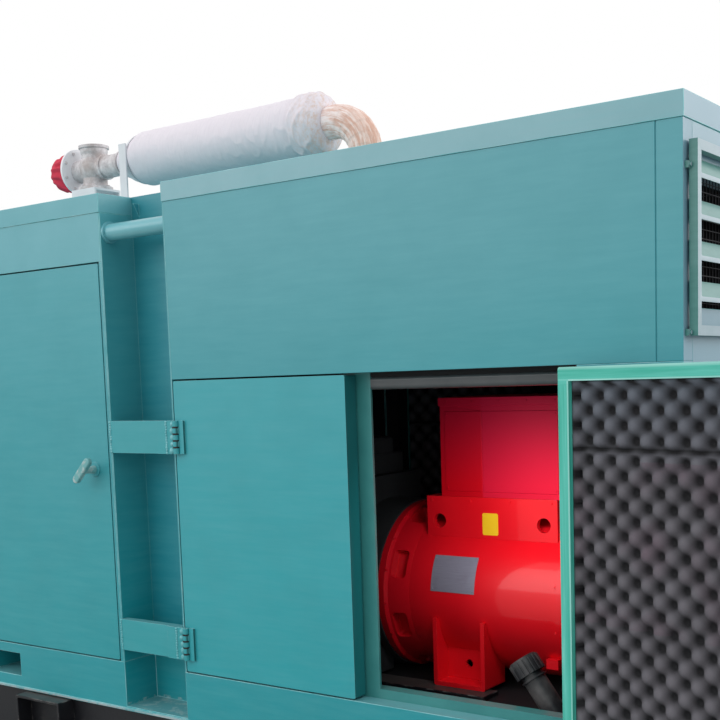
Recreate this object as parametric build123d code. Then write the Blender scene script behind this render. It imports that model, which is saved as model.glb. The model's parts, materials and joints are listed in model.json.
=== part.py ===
from build123d import *
from math import cos, sin, radians
import os

os.makedirs("parts", exist_ok=True)

# A diesel generator set in a sheet-steel canopy, in millimetres.
# +X runs from the radiator end to the alternator end, -Y is the side with the open
# door, +Z is up, and the origin is on the floor under the middle of the set.

# Skid and base
width = 1350.0
left_length = 1600.0
recess_width = 290.0
right_length = 1695.0
skid_height = 250.0
sill_height = 170.0
deck_height = 110.0
rail_flange = 90.0
rail_plate = 12.0
rail_inset = 12.0
rail_corner = 10.0
cross_width = 110.0
cross_height = 150.0
cross_inset = 30.0
bearer_width = 240.0
bearer_height = 130.0
bearer_drop = 4.0
bearer_reach = 60.0
bearer_wall = 10.0
bearer_centre = 607.0
slot_width = 192.0
slot_height = 84.0
slot_rise = 50.0
slot_centre = -860.0
slot_reach = 160.0
anchor_bore = 22.0
anchor_end_distance = 200.0
recess_floor = 14.0
lip_reach = 6.0
lip_thickness = 8.0

# Canopy walls and roof
body_height = 1581.0
roof_band = 62.0
roof_proud = 3.0
wall = 60.0
recess_depth = 145.0
plate = 6.0
seam = 3.0
corner_strip = 68.0
gusset_offset = 30.0
gusset_drop = 26.0
gusset_height = 45.0
gusset_depth = 26.0

# Door stops
stop_plate = 8.0
stop_width = 48.0
stop_overlap = 8.0
stop_seat = 10.0
stop_tube_drop = 12.0
stop_tube_height = 38.0
stop_tube_depth = 34.0
stop_tube_corner = 12.0
stop_foot = 30.0
stop_foot_rise = 28.0
stop_foot_depth = 42.0

# Doors
door_height = 960.0
leaf_width = 686.0
alternator_leaf_width = 713.0
tall_door_width = 900.0
tall_door_post = 18.0
over_door = 160.0
leaf_edge_gap = 5.0
door_gap = 5.0
leaf_thickness = 53.0
leaf_skin = 4.0
leaf_stile = 34.0
leaf_corner = 6.0
foam_gap = 0.3
foam_drop = 9.0
open_angle = 163.0

# Hinges
arm_height = 107.0
arm_thickness = 30.0
arm_proud = 6.0
arm_low = 45.0
arm_high = 722.0
arm_tongue = 60.0
arm_end_gap = 3.0
arm_cover = 2.0
hinge_setback = 24.0
hinge_end_drop = 160.0
knuckle_radius = 10.0
knuckle_standoff = 2.0
knuckle_count = 5
knuckle_gap = 1.6
knuckle_clearance = 1.0
pin_radius = 4.5
pin_clearance = 0.4
hinge_plate = 9.0
hinge_plate_width = 20.0

# T-handles
handle_inset = 70.0
handle_height = 664.0
paddle_length = 112.0
paddle_width = 28.0
paddle_thickness = 15.0
paddle_tilt = 45.0
paddle_edge = 5.0
handle_reach = 46.0
stem_root_radius = 14.0
stem_tip_radius = 10.0
rosette_radius = 26.0
rosette_height = 6.0
rosette_chamfer = 2.0
running_gap = 0.3

# Lifting bars
bar_radius = 28.0
bar_depth = 38.0
bar_drop = 126.0
collar_radius = 36.0
collar_length = 8.0

# Louvre on the alternator end
louvre_drop = 111.0
louvre_height = 452.0
louvre_side = 22.0
louvre_standoff = 6.0
louvre_channel = 21.0
louvre_border = 24.0
louvre_hole_inset = 44.0
louvre_sheet = 3.0
blade_start = 87.0
blade_pitch = 95.0
blade_slant = 44.0
blade_slope = 60.0
blade_lip = 12.0
tab_height = 16.0
tab_reach = 12.0
tab_inset = 66.0

# Discharge grille on the radiator end
grille_width = 980.0
grille_bottom = 90.0
grille_height = 1100.0
grille_border = 34.0
grille_bar = 10.0
grille_pitch = 62.0
grille_tie = 14.0
grille_tie_count = 2

# Exhaust on the roof
exhaust_rise = 257.0
silencer_radius = 103.0
silencer_right = 170.0
silencer_left = -735.0
silencer_band = 84.0
silencer_band_ramp = 25.0
silencer_band_step = 5.0
silencer_shoulder = 34.0
cone_length = 130.0
cone_tip_radius = 54.0
pipe_radius = 45.0
riser_radius = 57.0
riser_bend = 130.0
riser_x = 322.0
riser_foot = 40.0
riser_clearance = 4.0
hanger_width = 38.0
hanger_thickness = 7.0
hanger_strap = 4.0
hanger_setback = 49.0
hanger_rise = 51.0
hanger_foot = 60.0
tee_centre = -1056.0
tee_radius = 50.0
tee_bulge = 64.0
tee_mouth_radius = 56.0
tee_mouth_bore = 44.0
tee_neck = 52.0
tee_rise = 92.0
tee_rim = 12.0
tee_drop = 86.0
tee_foot_radius = 70.0
tee_ring = 6.0
tee_ring_width = 12.0
tee_flange_radius = 92.0
tee_flange_thickness = 11.0
tee_flange_gap = 45.0
blank_stub = 42.0
stand_half_width = 70.0
stand_web = 10.0
stand_plate = 10.0
cover_radius = 85.0
cover_length = 110.0
cover_slack = 6.0

# Alternator
shaft_height = 280.0
rail_height = 15.0
alternator_radius = 262.0
alternator_start = 620.0
alternator_length = 554.0
adaptor_length = 108.0
adaptor_radius = 285.0
adaptor_flange = 24.0
adaptor_shoulder = 8.0
adaptor_root = 12.0
adaptor_windows = 8
adaptor_window_width = 92.0
adaptor_window_length = 52.0
adaptor_window_depth = 34.0
adaptor_window_corner = 13.0
end_flange = 26.0
end_flange_step = 14.0
end_cover_length = 150.0
end_cover_step = 40.0
end_cover_boss = 90.0
air_slot_count = 18
air_slot_width = 22.0
air_slot_length = 84.0
air_slot_depth = 30.0
foot_start = 712.0
foot_width = 188.0
foot_web = 14.0
foot_corner = 7.0
foot_depth = 130.0
foot_back = 66.0
foot_half_spread = 268.0
foot_top_drop = 62.0
foot_hole = 26.0
pad_width = 40.0
pad_height = 30.0
pad_rise = 90.0
pad_reach = 230.0
pad_setback = 39.0
box_start = 704.0
box_length = 435.0
box_bottom = 557.0
box_height = 316.0
box_depth = 360.0
box_lid = 26.0
box_lid_step = 4.0
box_cover_border = 18.0
box_cover_step = 3.0
box_cover_seam = 153.0
saddle_plate = 20.0
saddle_overhang = 57.0
saddle_end_inset = 24.0
eye_bore = 46.0
eye_inset = 47.0
eye_drop = 80.0

# Engine and cooling
engine_half_width = 190.0
engine_length = 1350.0
engine_block_height = 430.0
sump_height = 190.0
sump_taper = 60.0
sump_inset = 80.0
head_height = 70.0
head_inset = 40.0
head_half_width = 140.0
cylinder_count = 6
cover_gap = 14.0
rocker_height = 60.0
rocker_half_width = 90.0
rocker_corner = 16.0
engine_foot_start = 120.0
engine_foot_width = 100.0
filter_count = 2
filter_radius = 52.0
filter_corner = 13.0
filter_length = 190.0
filter_spacing = 130.0
flywheel_radius = 290.0
flywheel_length = 130.0
flywheel_foot_width = 80.0
flywheel_inner = 150.0
foot_rail_inset = 10.0
engine_drop = 60.0
manifold_radius = 45.0
manifold_rise = 50.0
downpipe_rise = 160.0
downpipe_bend = 90.0
radiator_width = 1000.0
radiator_height = 1250.0
radiator_thickness = 120.0
radiator_setback = 330.0
tank_height = 120.0
tank_corner = 30.0
side_channel = 40.0
core_recess = 14.0
core_rib_count = 8
core_rib = 8.0
fan_radius = 400.0
fan_clearance = 26.0
fan_setback = 74.0
fan_blades = 6
fan_hub = 78.0
fan_hub_length = 46.0
fan_shaft = 34.0
blade_root = 150.0
blade_tip = 118.0
blade_thickness = 8.0
root_pitch = 48.0
tip_pitch = 28.0
shroud_margin = 30.0
shroud_plate = 12.0
shroud_side_depth = 60.0
ring_depth = 130.0
ring_wall = 12.0
rail_half_gap = 230.0
rail_width = 90.0
rail_start = -680.0
rail_end = 925.0

# Fuel filler
filler_x = 1260.0
filler_depth = 235.0
filler_radius = 34.0
filler_length = 179.0
filler_tilt = 36.0
filler_bead = 5.0
filler_cap_radius = 46.0
filler_cap_length = 46.0
filler_cap_ribs = 18
filler_cap_groove = 3.0

# Worked-out positions
total_length = left_length + recess_width + right_length
x_left = -total_length / 2
x_corner = x_left + left_length
x_right = x_corner + recess_width
x_end = x_left + total_length
half = width / 2
z_body = skid_height
z_deck = skid_height + deck_height
z_door = skid_height + sill_height
z_top = z_door + body_height
z_band = z_top - roof_band
z_leaf_top = z_door + door_height
z_tall_top = z_band - over_door
z_rail_top = z_deck + rail_height
z_shaft = z_rail_top + shaft_height
z_pipe = z_top + exhaust_rise
hinge_proud = knuckle_radius + knuckle_standoff
past = 1.0


def block(x0, x1, y0, y1, z0, z1):
    """A box between two corners."""
    size = Vector(x1 - x0, y1 - y0, z1 - z0)
    centre = Vector((x0 + x1) / 2, (y0 + y1) / 2, (z0 + z1) / 2)
    return Pos(centre) * Box(size.X, size.Y, size.Z)


def side_block(x0, x1, d0, d1, z0, z1):
    """A box on the open-door side, at depths d0 to d1 behind the canopy's face."""
    return block(x0, x1, d0 - half, d1 - half, z0, z1)


def along_x(radius, x0, x1, y, z):
    """A round bar along X."""
    return Pos((x0 + x1) / 2, y, z) * Rot(0, 90, 0) * Cylinder(radius, x1 - x0)


def along_y(radius, y0, y1, x, z):
    """A round bar along Y."""
    return Pos(x, (y0 + y1) / 2, z) * Rot(90, 0, 0) * Cylinder(radius, y1 - y0)


def along_z(radius, z0, z1, x, y):
    """An upright round bar."""
    return Pos(x, y, (z0 + z1) / 2) * Cylinder(radius, z1 - z0)


def turned(points, axis):
    """A solid of revolution from its half profile in the XZ plane."""
    with BuildSketch(Plane.XZ) as profile:
        with BuildLine():
            Polyline(*points, close=True)
        make_face()
    return revolve(profile.sketch, axis)


def far_side(shape):
    """The same piece on the other side of the set."""
    return mirror(shape, Plane.XZ)


def both_sides(shapes):
    """Pieces of the open-door side with their twins on the far side."""
    return list(shapes) + [far_side(shape) for shape in shapes]


def save(name, shapes):
    """Write one node from one solid or a list of solids."""
    if isinstance(shapes, (list, tuple)):
        solids = [solid for shape in shapes for solid in shape.solids()]
        shape = Compound(children=solids) if len(solids) > 1 else solids[0]
    else:
        shape = shapes
    export_step(shape, f"parts/{name}.step")


# Skid: two folded channels, cross members between them and bearers that stand out
web_face = rail_inset - half
anchor_y = web_face + rail_plate + (rail_flange - rail_plate) / 2


def skid_rail():
    with BuildSketch(Plane.YZ) as section:
        with BuildLine():
            Polyline(
                (web_face, 0),
                (web_face + rail_flange, 0),
                (web_face + rail_flange, rail_plate),
                (web_face + rail_plate, rail_plate),
                (web_face + rail_plate, skid_height - rail_plate),
                (web_face + rail_flange, skid_height - rail_plate),
                (web_face + rail_flange, skid_height),
                (web_face, skid_height),
                close=True,
            )
        make_face()
        corners = section.vertices().sort_by(Axis.Y)[:2]
        fillet(corners, rail_corner)
    rail = Pos(x_left, 0, 0) * extrude(section.sketch, total_length)
    for x in (x_left + anchor_end_distance, x_end - anchor_end_distance):
        rail -= along_z(anchor_bore / 2, -past, rail_plate + past, x, anchor_y)
    return rail


save("skid_rails", both_sides([skid_rail()]))

cross_half = -(web_face + rail_plate)
flange_tip = -(web_face + rail_flange)
cross_places = (x_left + cross_width / 2 + cross_inset, 0.0, x_end - cross_width / 2 - cross_inset)
cross_members = []
for x in cross_places:
    x0 = x - cross_width / 2
    x1 = x + cross_width / 2
    beam = block(x0, x1, -cross_half, cross_half, 0, cross_height)
    for y0, y1 in ((-cross_half, -flange_tip), (flange_tip, cross_half)):
        beam -= block(x0, x1, y0, y1, 0, rail_plate)
    cross_members.append(beam)
save("skid_cross_members", cross_members)


def bearer_end(x):
    """A short square tube welded to the rail, open at its outer end."""
    x0 = x - bearer_width / 2
    x1 = x + bearer_width / 2
    z1 = skid_height - bearer_drop
    z0 = z1 - bearer_height
    tube = side_block(x0, x1, -bearer_reach, rail_inset, z0, z1)
    tube -= side_block(x0 + bearer_wall, x1 - bearer_wall, -bearer_reach - past, rail_inset - bearer_wall,
                       z0 + bearer_wall, z1 - bearer_wall)
    return tube


save("bearer_ends", both_sides([bearer_end(x) for x in (-bearer_centre, bearer_centre)]))

# Base: a deep tray under the canopy with a lip at its foot, notched at the recesses, with fork slots
inner_depth = recess_depth + plate


def base_tray():
    tray = block(x_left, x_end, -half, half, z_body, z_door)
    lip_x = x_left - lip_reach
    tray += block(lip_x, -lip_x, -half - lip_reach, half + lip_reach, z_body, z_body + lip_thickness)
    tray -= block(x_left + wall, x_end - wall, inner_depth - half, half - inner_depth, z_deck, z_door + past)
    for x0, x1 in ((x_left + wall, x_corner - plate), (x_right + plate, x_end - wall)):
        tray -= block(x0, x1, wall - half, half - wall, z_deck, z_door + past)
    notch = side_block(x_corner, x_right, -past, recess_depth, z_body + recess_floor, z_door + past)
    slot_low = z_body + slot_rise
    slot = side_block(slot_centre - slot_width / 2, slot_centre + slot_width / 2, -past, slot_reach,
                      slot_low, slot_low + slot_height)
    for cut in both_sides([notch, slot]):
        tray -= cut
    return tray


save("base_tray", base_tray())


# Recesses between the two housings, with their gussets and lifting bars
def recess_back():
    """The back sheet, with a small gusset near the roof."""
    sheet = side_block(x_corner, x_right, recess_depth, inner_depth, z_door, z_top)
    x0 = x_corner + gusset_offset
    y0 = recess_depth - half
    z1 = z_top - gusset_drop
    with BuildSketch(Plane.YZ) as triangle:
        with BuildLine():
            Polyline((y0, z1), (y0 - gusset_depth, z1), (y0, z1 - gusset_height), close=True)
        make_face()
    return sheet + Pos(x0, 0, 0) * extrude(triangle.sketch, plate)


save("recess_backs", both_sides([recess_back()]))
left_return = side_block(x_corner - plate, x_corner, 0, inner_depth, z_door, z_band)
right_return = side_block(x_right, x_right + plate, 0, inner_depth, z_door, z_band)
save("recess_returns", both_sides([left_return, right_return]))

bar_y = bar_depth - half
z_bar = z_top - bar_drop
bar = along_x(bar_radius, x_corner, x_right, bar_y, z_bar)
bar += along_x(collar_radius, x_corner, x_corner + collar_length, bar_y, z_bar)
bar += along_x(collar_radius, x_right - collar_length, x_right, bar_y, z_bar)
save("lifting_bars", both_sides([bar]))

# Fixed panels of the right housing
x_leaf = x_right + plate + leaf_edge_gap
x_meet = x_leaf + leaf_width
x_jamb = x_meet + alternator_leaf_width + 2 * door_gap
upper = side_block(x_right + plate, x_end, 0, wall, z_leaf_top, z_band)
upper_seam_x = x_end - corner_strip
upper -= side_block(upper_seam_x, upper_seam_x + seam, -past, seam, z_leaf_top - past, z_band + past)
save("right_upper_panels", both_sides([upper]))
save("right_side_panels", both_sides([side_block(x_jamb, x_end, 0, wall, z_door, z_leaf_top)]))

louvre_half = half - louvre_side
z_louvre_high = z_top - louvre_drop
z_louvre_low = z_louvre_high - louvre_height
hole_half = louvre_half - louvre_border - louvre_hole_inset
z_hole_low = z_louvre_low + louvre_border + louvre_hole_inset
z_hole_high = z_louvre_high - louvre_border - louvre_hole_inset
right_wall = block(x_end - wall, x_end, wall - half, half - wall, z_door, z_band)
right_wall -= block(x_end - wall - past, x_end + past, -hole_half, hole_half, z_hole_low, z_hole_high)
save("right_end_wall", right_wall)


# Inlet louvre: a channel frame held off the wall by tabs, with folded blades that shed rain
def louvre_blade(z_foot, y_half):
    """One folded blade: a lip at the outer edge and a slope that leans in above it."""
    x_lip = x_end + louvre_standoff + louvre_channel - louvre_sheet
    z_bend = z_foot + blade_lip
    run = blade_slant * cos(radians(blade_slope))
    rise = blade_slant * sin(radians(blade_slope))
    with BuildSketch(Plane.XZ) as section:
        with BuildLine():
            Polyline(
                (x_lip, z_foot),
                (x_lip + louvre_sheet, z_foot),
                (x_lip + louvre_sheet, z_bend),
                (x_lip + louvre_sheet - run, z_bend + rise),
                (x_lip - run, z_bend + rise),
                (x_lip, z_bend),
                close=True,
            )
        make_face()
    return Pos(0, y_half, 0) * extrude(section.sketch, 2 * y_half)


def inlet_louvre():
    x0 = x_end + louvre_standoff
    x1 = x0 + louvre_channel
    inner_half = louvre_half - louvre_border
    frame = block(x0, x1, -louvre_half, louvre_half, z_louvre_low, z_louvre_high)
    frame -= block(x0 - past, x1 + past, -inner_half, inner_half,
                   z_louvre_low + louvre_border, z_louvre_high - louvre_border)
    first_foot = z_louvre_high - blade_start
    blade_count = int((first_foot - z_louvre_low - louvre_border) // blade_pitch) + 1
    for i in range(blade_count):
        frame += louvre_blade(first_foot - i * blade_pitch, inner_half + past)
    for z in (z_louvre_low, z_louvre_high - tab_inset):
        for y in (-louvre_half - tab_reach, louvre_half - past):
            frame += block(x_end, x0 + louvre_sheet, y, y + tab_reach + past, z, z + tab_height)
    return frame


save("inlet_louvre", inlet_louvre())

# Roofs with their side bands
riser_hole = riser_radius + riser_clearance
right_roof = block(x_right, x_end + roof_proud, -half - roof_proud, half + roof_proud, z_band, z_top)
right_roof -= along_z(riser_hole, z_band - past, z_top + past, x_right + riser_x, 0)
save("right_roof", right_roof)
left_roof = block(x_left - roof_proud, x_corner, -half - roof_proud, half + roof_proud, z_band, z_top)
save("left_roof", left_roof)
back_half = half - inner_depth
save("recess_roof", block(x_corner, x_right, -back_half, back_half, z_band, z_top))

# Fixed panels of the left housing
x_tall_right = x_corner - tall_door_post
x_tall_left = x_tall_right - tall_door_width - 2 * door_gap
save("left_side_panels", both_sides([side_block(x_left, x_tall_left, 0, wall, z_door, z_band)]))
save("over_door_strips", both_sides([side_block(x_tall_left, x_corner - plate, 0, wall, z_tall_top, z_band)]))
save("corner_posts", both_sides([side_block(x_tall_right, x_corner - plate, 0, wall, z_door, z_tall_top)]))

z_grille = z_door + grille_bottom
z_grille_top = z_grille + grille_height
left_wall = block(x_left, x_left + wall, wall - half, half - wall, z_door, z_band)
left_wall -= block(x_left - past, x_left + wall + past, -grille_width / 2, grille_width / 2,
                   z_grille, z_grille_top)
save("left_end_wall", left_wall)


def discharge_grille():
    """A flat frame with upright bars and thinner tie bars across them."""
    edge = grille_width / 2
    x0 = x_left - plate
    frame = block(x0, x_left, -edge - grille_border, edge + grille_border,
                  z_grille - grille_border, z_grille_top + grille_border)
    frame -= block(x0 - past, x_left + past, -edge, edge, z_grille, z_grille_top)
    columns = int(grille_width // grille_pitch)
    step = grille_width / columns
    for i in range(1, columns):
        y = -edge + i * step
        frame += block(x0, x_left, y - grille_bar / 2, y + grille_bar / 2,
                       z_grille - past, z_grille_top + past)
    for i in range(grille_tie_count):
        z = z_grille + (i + 1) * grille_height / (grille_tie_count + 1)
        frame += block(x_left - plate / 2, x_left, -edge - past, edge + past, z, z + grille_tie)
    return frame


save("discharge_grille", discharge_grille())


# Stops behind the doors: flat uprights, a rounded tube at the head and a rail at the foot
def stop_frame(x0, x1, z_high, middle=None):
    d0 = wall
    z_low = z_door - stop_foot
    z_tube = z_high - stop_tube_drop - stop_tube_height
    tube = side_block(x0, x1, d0, d0 + stop_tube_depth, z_tube, z_tube + stop_tube_height)
    tube = fillet(tube.edges().filter_by(Axis.X), stop_tube_corner)
    frame = tube + side_block(x0, x1, d0, d0 + stop_foot_depth, z_low, z_door + stop_foot_rise)
    uprights = [(x0, x0 + stop_width), (x1 - stop_width, x1)]
    if middle is not None:
        uprights.append((middle - stop_width, middle + stop_width))
    for u0, u1 in uprights:
        frame += side_block(u0, u1, d0, d0 + stop_plate, z_low, z_high + stop_seat)
    return frame


right_stops = stop_frame(x_right + plate, x_jamb + stop_width - stop_overlap, z_leaf_top, x_meet)
left_stops = stop_frame(x_tall_left - stop_width + stop_overlap, x_corner - plate, z_tall_top)
save("right_door_stops", both_sides([right_stops]))
save("left_door_stops", both_sides([left_stops]))

# Hinges: arms across the recess for the middle door, plates on the panels elsewhere
y_axis = -half - hinge_proud


def knuckles(x, z0, height, odd):
    """Every second barrel of a hinge, with the pin on the fixed half."""
    pitch = height / knuckle_count
    barrels = []
    for i in range(knuckle_count):
        if (i % 2 == 0) == odd:
            low = z0 + i * pitch + (0 if i == 0 else knuckle_gap / 2)
            high = z0 + (i + 1) * pitch - (0 if i == knuckle_count - 1 else knuckle_gap / 2)
            barrels.append(along_z(knuckle_radius, low, high, x, y_axis))
    return barrels


def hinge_half(x, toward, z0, height, fixed):
    """A hinge plate on one side of the axis with its barrels; toward is +1 or -1 in X."""
    far = x + toward * (knuckle_radius + hinge_plate_width)
    near = x + toward * (knuckle_radius + knuckle_clearance)
    whole = side_block(min(near, far), max(near, far), -hinge_plate, 0, z0, z0 + height)
    lug_end = near + toward
    for barrel in knuckles(x, z0, height, fixed):
        box = barrel.bounding_box()
        whole += barrel
        whole += block(min(x, lug_end), max(x, lug_end), y_axis, -half, box.min.Z, box.max.Z)
    if fixed:
        whole += along_z(pin_radius, z0, z0 + height, x, y_axis)
    else:
        whole -= along_z(pin_radius + pin_clearance, z0 - past, z0 + height + past, x, y_axis)
    return whole


x_arm_axis = x_right + hinge_setback
hinge_levels = (z_door + arm_low, z_door + arm_high)


def strap_arm(z0):
    """A thick strap from the left housing to the barrels at the middle door's edge."""
    y_front = -half - arm_proud
    z1 = z0 + arm_height
    x_tip = x_arm_axis - knuckle_radius - knuckle_clearance
    y_tongue = y_axis - arm_cover
    arm = block(x_corner, x_right - arm_end_gap, y_front, y_front + arm_thickness, z0, z1)
    arm += block(x_right - arm_tongue, x_tip, y_tongue, -half - arm_cover, z0, z1)
    for barrel in knuckles(x_arm_axis, z0, arm_height, True):
        box = barrel.bounding_box()
        arm += barrel
        arm += block(x_tip - past, x_arm_axis, y_tongue, y_axis + arm_proud, box.min.Z, box.max.Z)
    return arm + along_z(pin_radius, z0, z1, x_arm_axis, y_axis)


save("hinge_arms", both_sides([strap_arm(z) for z in hinge_levels]))

x_alternator_axis = x_jamb
x_engine_axis = x_tall_left
engine_levels = (z_door + hinge_end_drop, z_tall_top - hinge_end_drop - arm_height)
fixed_halves = [hinge_half(x_alternator_axis, 1, z, arm_height, True) for z in hinge_levels]
fixed_halves += [hinge_half(x_engine_axis, -1, z, arm_height, True) for z in engine_levels]
save("jamb_hinges", both_sides(fixed_halves))


# Door leaves: folded trays with a lining pad inside and, on some, a T-handle
def door_tray(x0, x1, z0, z1):
    tray = side_block(x0, x1, 0, leaf_thickness, z0, z1)
    tray = fillet(tray.edges().filter_by(Axis.Y), leaf_corner)
    tray -= side_block(x0 + leaf_stile, x1 - leaf_stile, leaf_skin, leaf_thickness + past,
                       z0 + leaf_stile, z1 - leaf_stile)
    return tray


def door_pad(x0, x1, z0, z1):
    edge = leaf_stile + foam_gap
    return side_block(x0 + edge, x1 - edge, leaf_skin + foam_gap, leaf_thickness - foam_drop,
                      z0 + edge, z1 - edge)


def rosette(x, z):
    """A round boss with a chamfered rim, welded to the leaf."""
    boss = along_y(rosette_radius, -half - rosette_height, -half, x, z)
    rim = boss.edges().filter_by(GeomType.CIRCLE).sort_by(Axis.Y)[0]
    return chamfer(rim, rosette_chamfer)


def t_handle(x, z):
    """A tapered stem with an oval paddle across its end."""
    y0 = -half - rosette_height - running_gap
    y1 = y0 - handle_reach
    stem = Pos(x, (y0 + y1) / 2, z) * Rot(90, 0, 0) * Cone(stem_root_radius, stem_tip_radius, handle_reach)
    with BuildSketch(Plane(origin=(x, y1 + past, z), x_dir=(1, 0, 0), z_dir=(0, -1, 0))) as outline:
        SlotOverall(paddle_length, paddle_width, rotation=paddle_tilt)
    paddle = extrude(outline.sketch, paddle_thickness)
    front_rim = paddle.faces().sort_by(Axis.Y)[0].edges()
    return stem + fillet(front_rim, paddle_edge)


z_leaf0 = z_door + door_gap
z_leaf1 = z_leaf_top - door_gap
middle_x = (x_leaf, x_meet)
alternator_x = (x_meet + door_gap, x_jamb - door_gap)
engine_x = (x_tall_left + door_gap, x_tall_right - door_gap)
z_handle = z_door + handle_height

middle_tray = door_tray(*middle_x, z_leaf0, z_leaf1)
for z in hinge_levels:
    middle_tray += hinge_half(x_arm_axis, 1, z, arm_height, False)
middle_pad = door_pad(*middle_x, z_leaf0, z_leaf1)

alternator_tray = door_tray(*alternator_x, z_leaf0, z_leaf1)
for z in hinge_levels:
    alternator_tray += hinge_half(x_alternator_axis, -1, z, arm_height, False)
alternator_handle_x = alternator_x[0] + handle_inset
alternator_tray += rosette(alternator_handle_x, z_handle)
alternator_pad = door_pad(*alternator_x, z_leaf0, z_leaf1)
alternator_handle = t_handle(alternator_handle_x, z_handle)

engine_tray = door_tray(*engine_x, z_leaf0, z_tall_top - door_gap)
for z in engine_levels:
    engine_tray += hinge_half(x_engine_axis, 1, z, arm_height, False)
engine_handle_x = engine_x[1] - handle_inset
engine_tray += rosette(engine_handle_x, z_handle)
engine_pad = door_pad(*engine_x, z_leaf0, z_tall_top - door_gap)
engine_handle = t_handle(engine_handle_x, z_handle)

hinge_line = Axis((x_alternator_axis, y_axis, 0), (0, 0, 1))
save("middle_door_front", middle_tray)
save("middle_door_rear", far_side(middle_tray))
save("middle_lining_front", middle_pad)
save("middle_lining_rear", far_side(middle_pad))
save("alternator_door_front", alternator_tray.rotate(hinge_line, open_angle))
save("alternator_door_rear", far_side(alternator_tray))
save("alternator_lining_front", alternator_pad.rotate(hinge_line, open_angle))
save("alternator_lining_rear", far_side(alternator_pad))
save("alternator_handle_front", alternator_handle.rotate(hinge_line, open_angle))
save("alternator_handle_rear", far_side(alternator_handle))
save("engine_door_front", engine_tray)
save("engine_door_rear", far_side(engine_tray))
save("engine_lining_front", engine_pad)
save("engine_lining_rear", far_side(engine_pad))
save("engine_handle_front", engine_handle)
save("engine_handle_rear", far_side(engine_handle))

# Exhaust on the roof: riser elbow, silencer, hanger, tee with its flared mouth, blank and cover
x_riser = x_right + riser_x
x_silencer_right = x_right + silencer_right
x_silencer_left = x_right + silencer_left
x_cone_tip = x_silencer_left - cone_length
z_riser = z_band - riser_foot


def exhaust_riser():
    with BuildLine() as path:
        FilletPolyline(
            (x_riser, 0, z_riser),
            (x_riser, 0, z_pipe),
            (x_silencer_right, 0, z_pipe),
            radius=riser_bend,
        )
    with BuildSketch(Plane(origin=path.line @ 0, z_dir=path.line % 0)) as section:
        Circle(riser_radius)
    return sweep(section.sketch, path.line)


def silencer():
    """The wrapped drum: a cone, the body, and a thicker band before the rounded end."""
    band = silencer_radius + silencer_band_step
    x_shoulder = x_silencer_right - silencer_shoulder
    x_band = x_shoulder - silencer_band
    profile = [
        (x_cone_tip, 0),
        (x_cone_tip, cone_tip_radius),
        (x_silencer_left, silencer_radius),
        (x_band, silencer_radius),
        (x_band + silencer_band_ramp, band),
        (x_shoulder, band),
        (x_silencer_right, riser_radius + silencer_band_step),
        (x_silencer_right, 0),
    ]
    return Pos(0, 0, z_pipe) * turned(profile, Axis.X)


save("exhaust_riser", exhaust_riser())
save("silencer", silencer())


def cone_radius(x):
    """The silencer's radius at a place along its cone."""
    share = (x_silencer_left - x) / cone_length
    return silencer_radius + share * (cone_tip_radius - silencer_radius)


def silencer_bracket():
    """A strap round the cone, welded to one flat bar that stands on the roof."""
    x0 = x_silencer_left - hanger_setback - hanger_width / 2
    x1 = x0 + hanger_width
    r0 = cone_radius(x0) + running_gap
    r1 = cone_radius(x1) + running_gap
    y0 = -r1 - hanger_thickness
    strap = turned([(x0, r0), (x1, r1), (x1, r1 + hanger_strap), (x0, r0 + hanger_strap)], Axis.X)
    upright = block(x0, x1, y0, y0 + hanger_thickness, z_top, z_pipe + hanger_rise)
    foot = block(x0, x1, y0, y0 + hanger_foot, z_top, z_top + hanger_thickness)
    return Pos(0, 0, z_pipe) * strap + upright + foot


save("silencer_bracket", silencer_bracket())

x_tee = x_right + tee_centre
x_blank = x_tee - tee_flange_gap - tee_radius


def outlet_tee():
    """A cast tee: a bulged body, a run with beads, a flared mouth, a foot flange and a side flange."""
    body = Pos(x_tee, 0, z_pipe) * Sphere(tee_bulge)
    body += along_x(pipe_radius, x_blank - tee_flange_thickness, x_cone_tip, 0, z_pipe)
    for x in (x_tee + tee_bulge, x_cone_tip - 2 * tee_ring_width):
        body += along_x(pipe_radius + tee_ring, x, x + tee_ring_width, 0, z_pipe)
    mouth = [
        (0, 0),
        (tee_radius, 0),
        (tee_radius, tee_neck),
        (tee_mouth_radius, tee_rise - 2 * tee_rim),
        (tee_mouth_radius, tee_rise - tee_rim),
        (tee_mouth_radius + tee_ring, tee_rise - tee_rim),
        (tee_mouth_radius + tee_ring, tee_rise),
        (0, tee_rise),
    ]
    body += Pos(x_tee, 0, z_pipe) * turned(mouth, Axis.Z)
    body += along_z(tee_radius, z_pipe - tee_drop, z_pipe, x_tee, 0)
    body += along_z(tee_foot_radius, z_pipe - tee_drop, z_pipe - tee_drop + tee_rim, x_tee, 0)
    body += along_x(tee_flange_radius, x_blank - tee_flange_thickness, x_blank, 0, z_pipe)
    x_stub = x_blank - tee_flange_thickness
    body += along_x(pipe_radius - tee_ring, x_stub - blank_stub, x_stub, 0, z_pipe)
    return body - along_z(tee_mouth_bore, z_pipe, z_pipe + tee_rise + past, x_tee, 0)


save("outlet_tee", outlet_tee())

z_stand = z_pipe - tee_drop
stand = block(x_tee - stand_half_width, x_tee + stand_half_width, -stand_half_width, stand_half_width,
              z_stand - stand_plate, z_stand)
stand += block(x_tee - stand_half_width, x_tee + stand_half_width, -stand_half_width, stand_half_width,
               z_top, z_top + stand_plate)
for y in (-stand_half_width, stand_half_width - stand_web):
    stand += block(x_tee - stand_half_width, x_tee + stand_half_width, y, y + stand_web, z_top, z_stand)
save("outlet_stand", stand)


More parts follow.
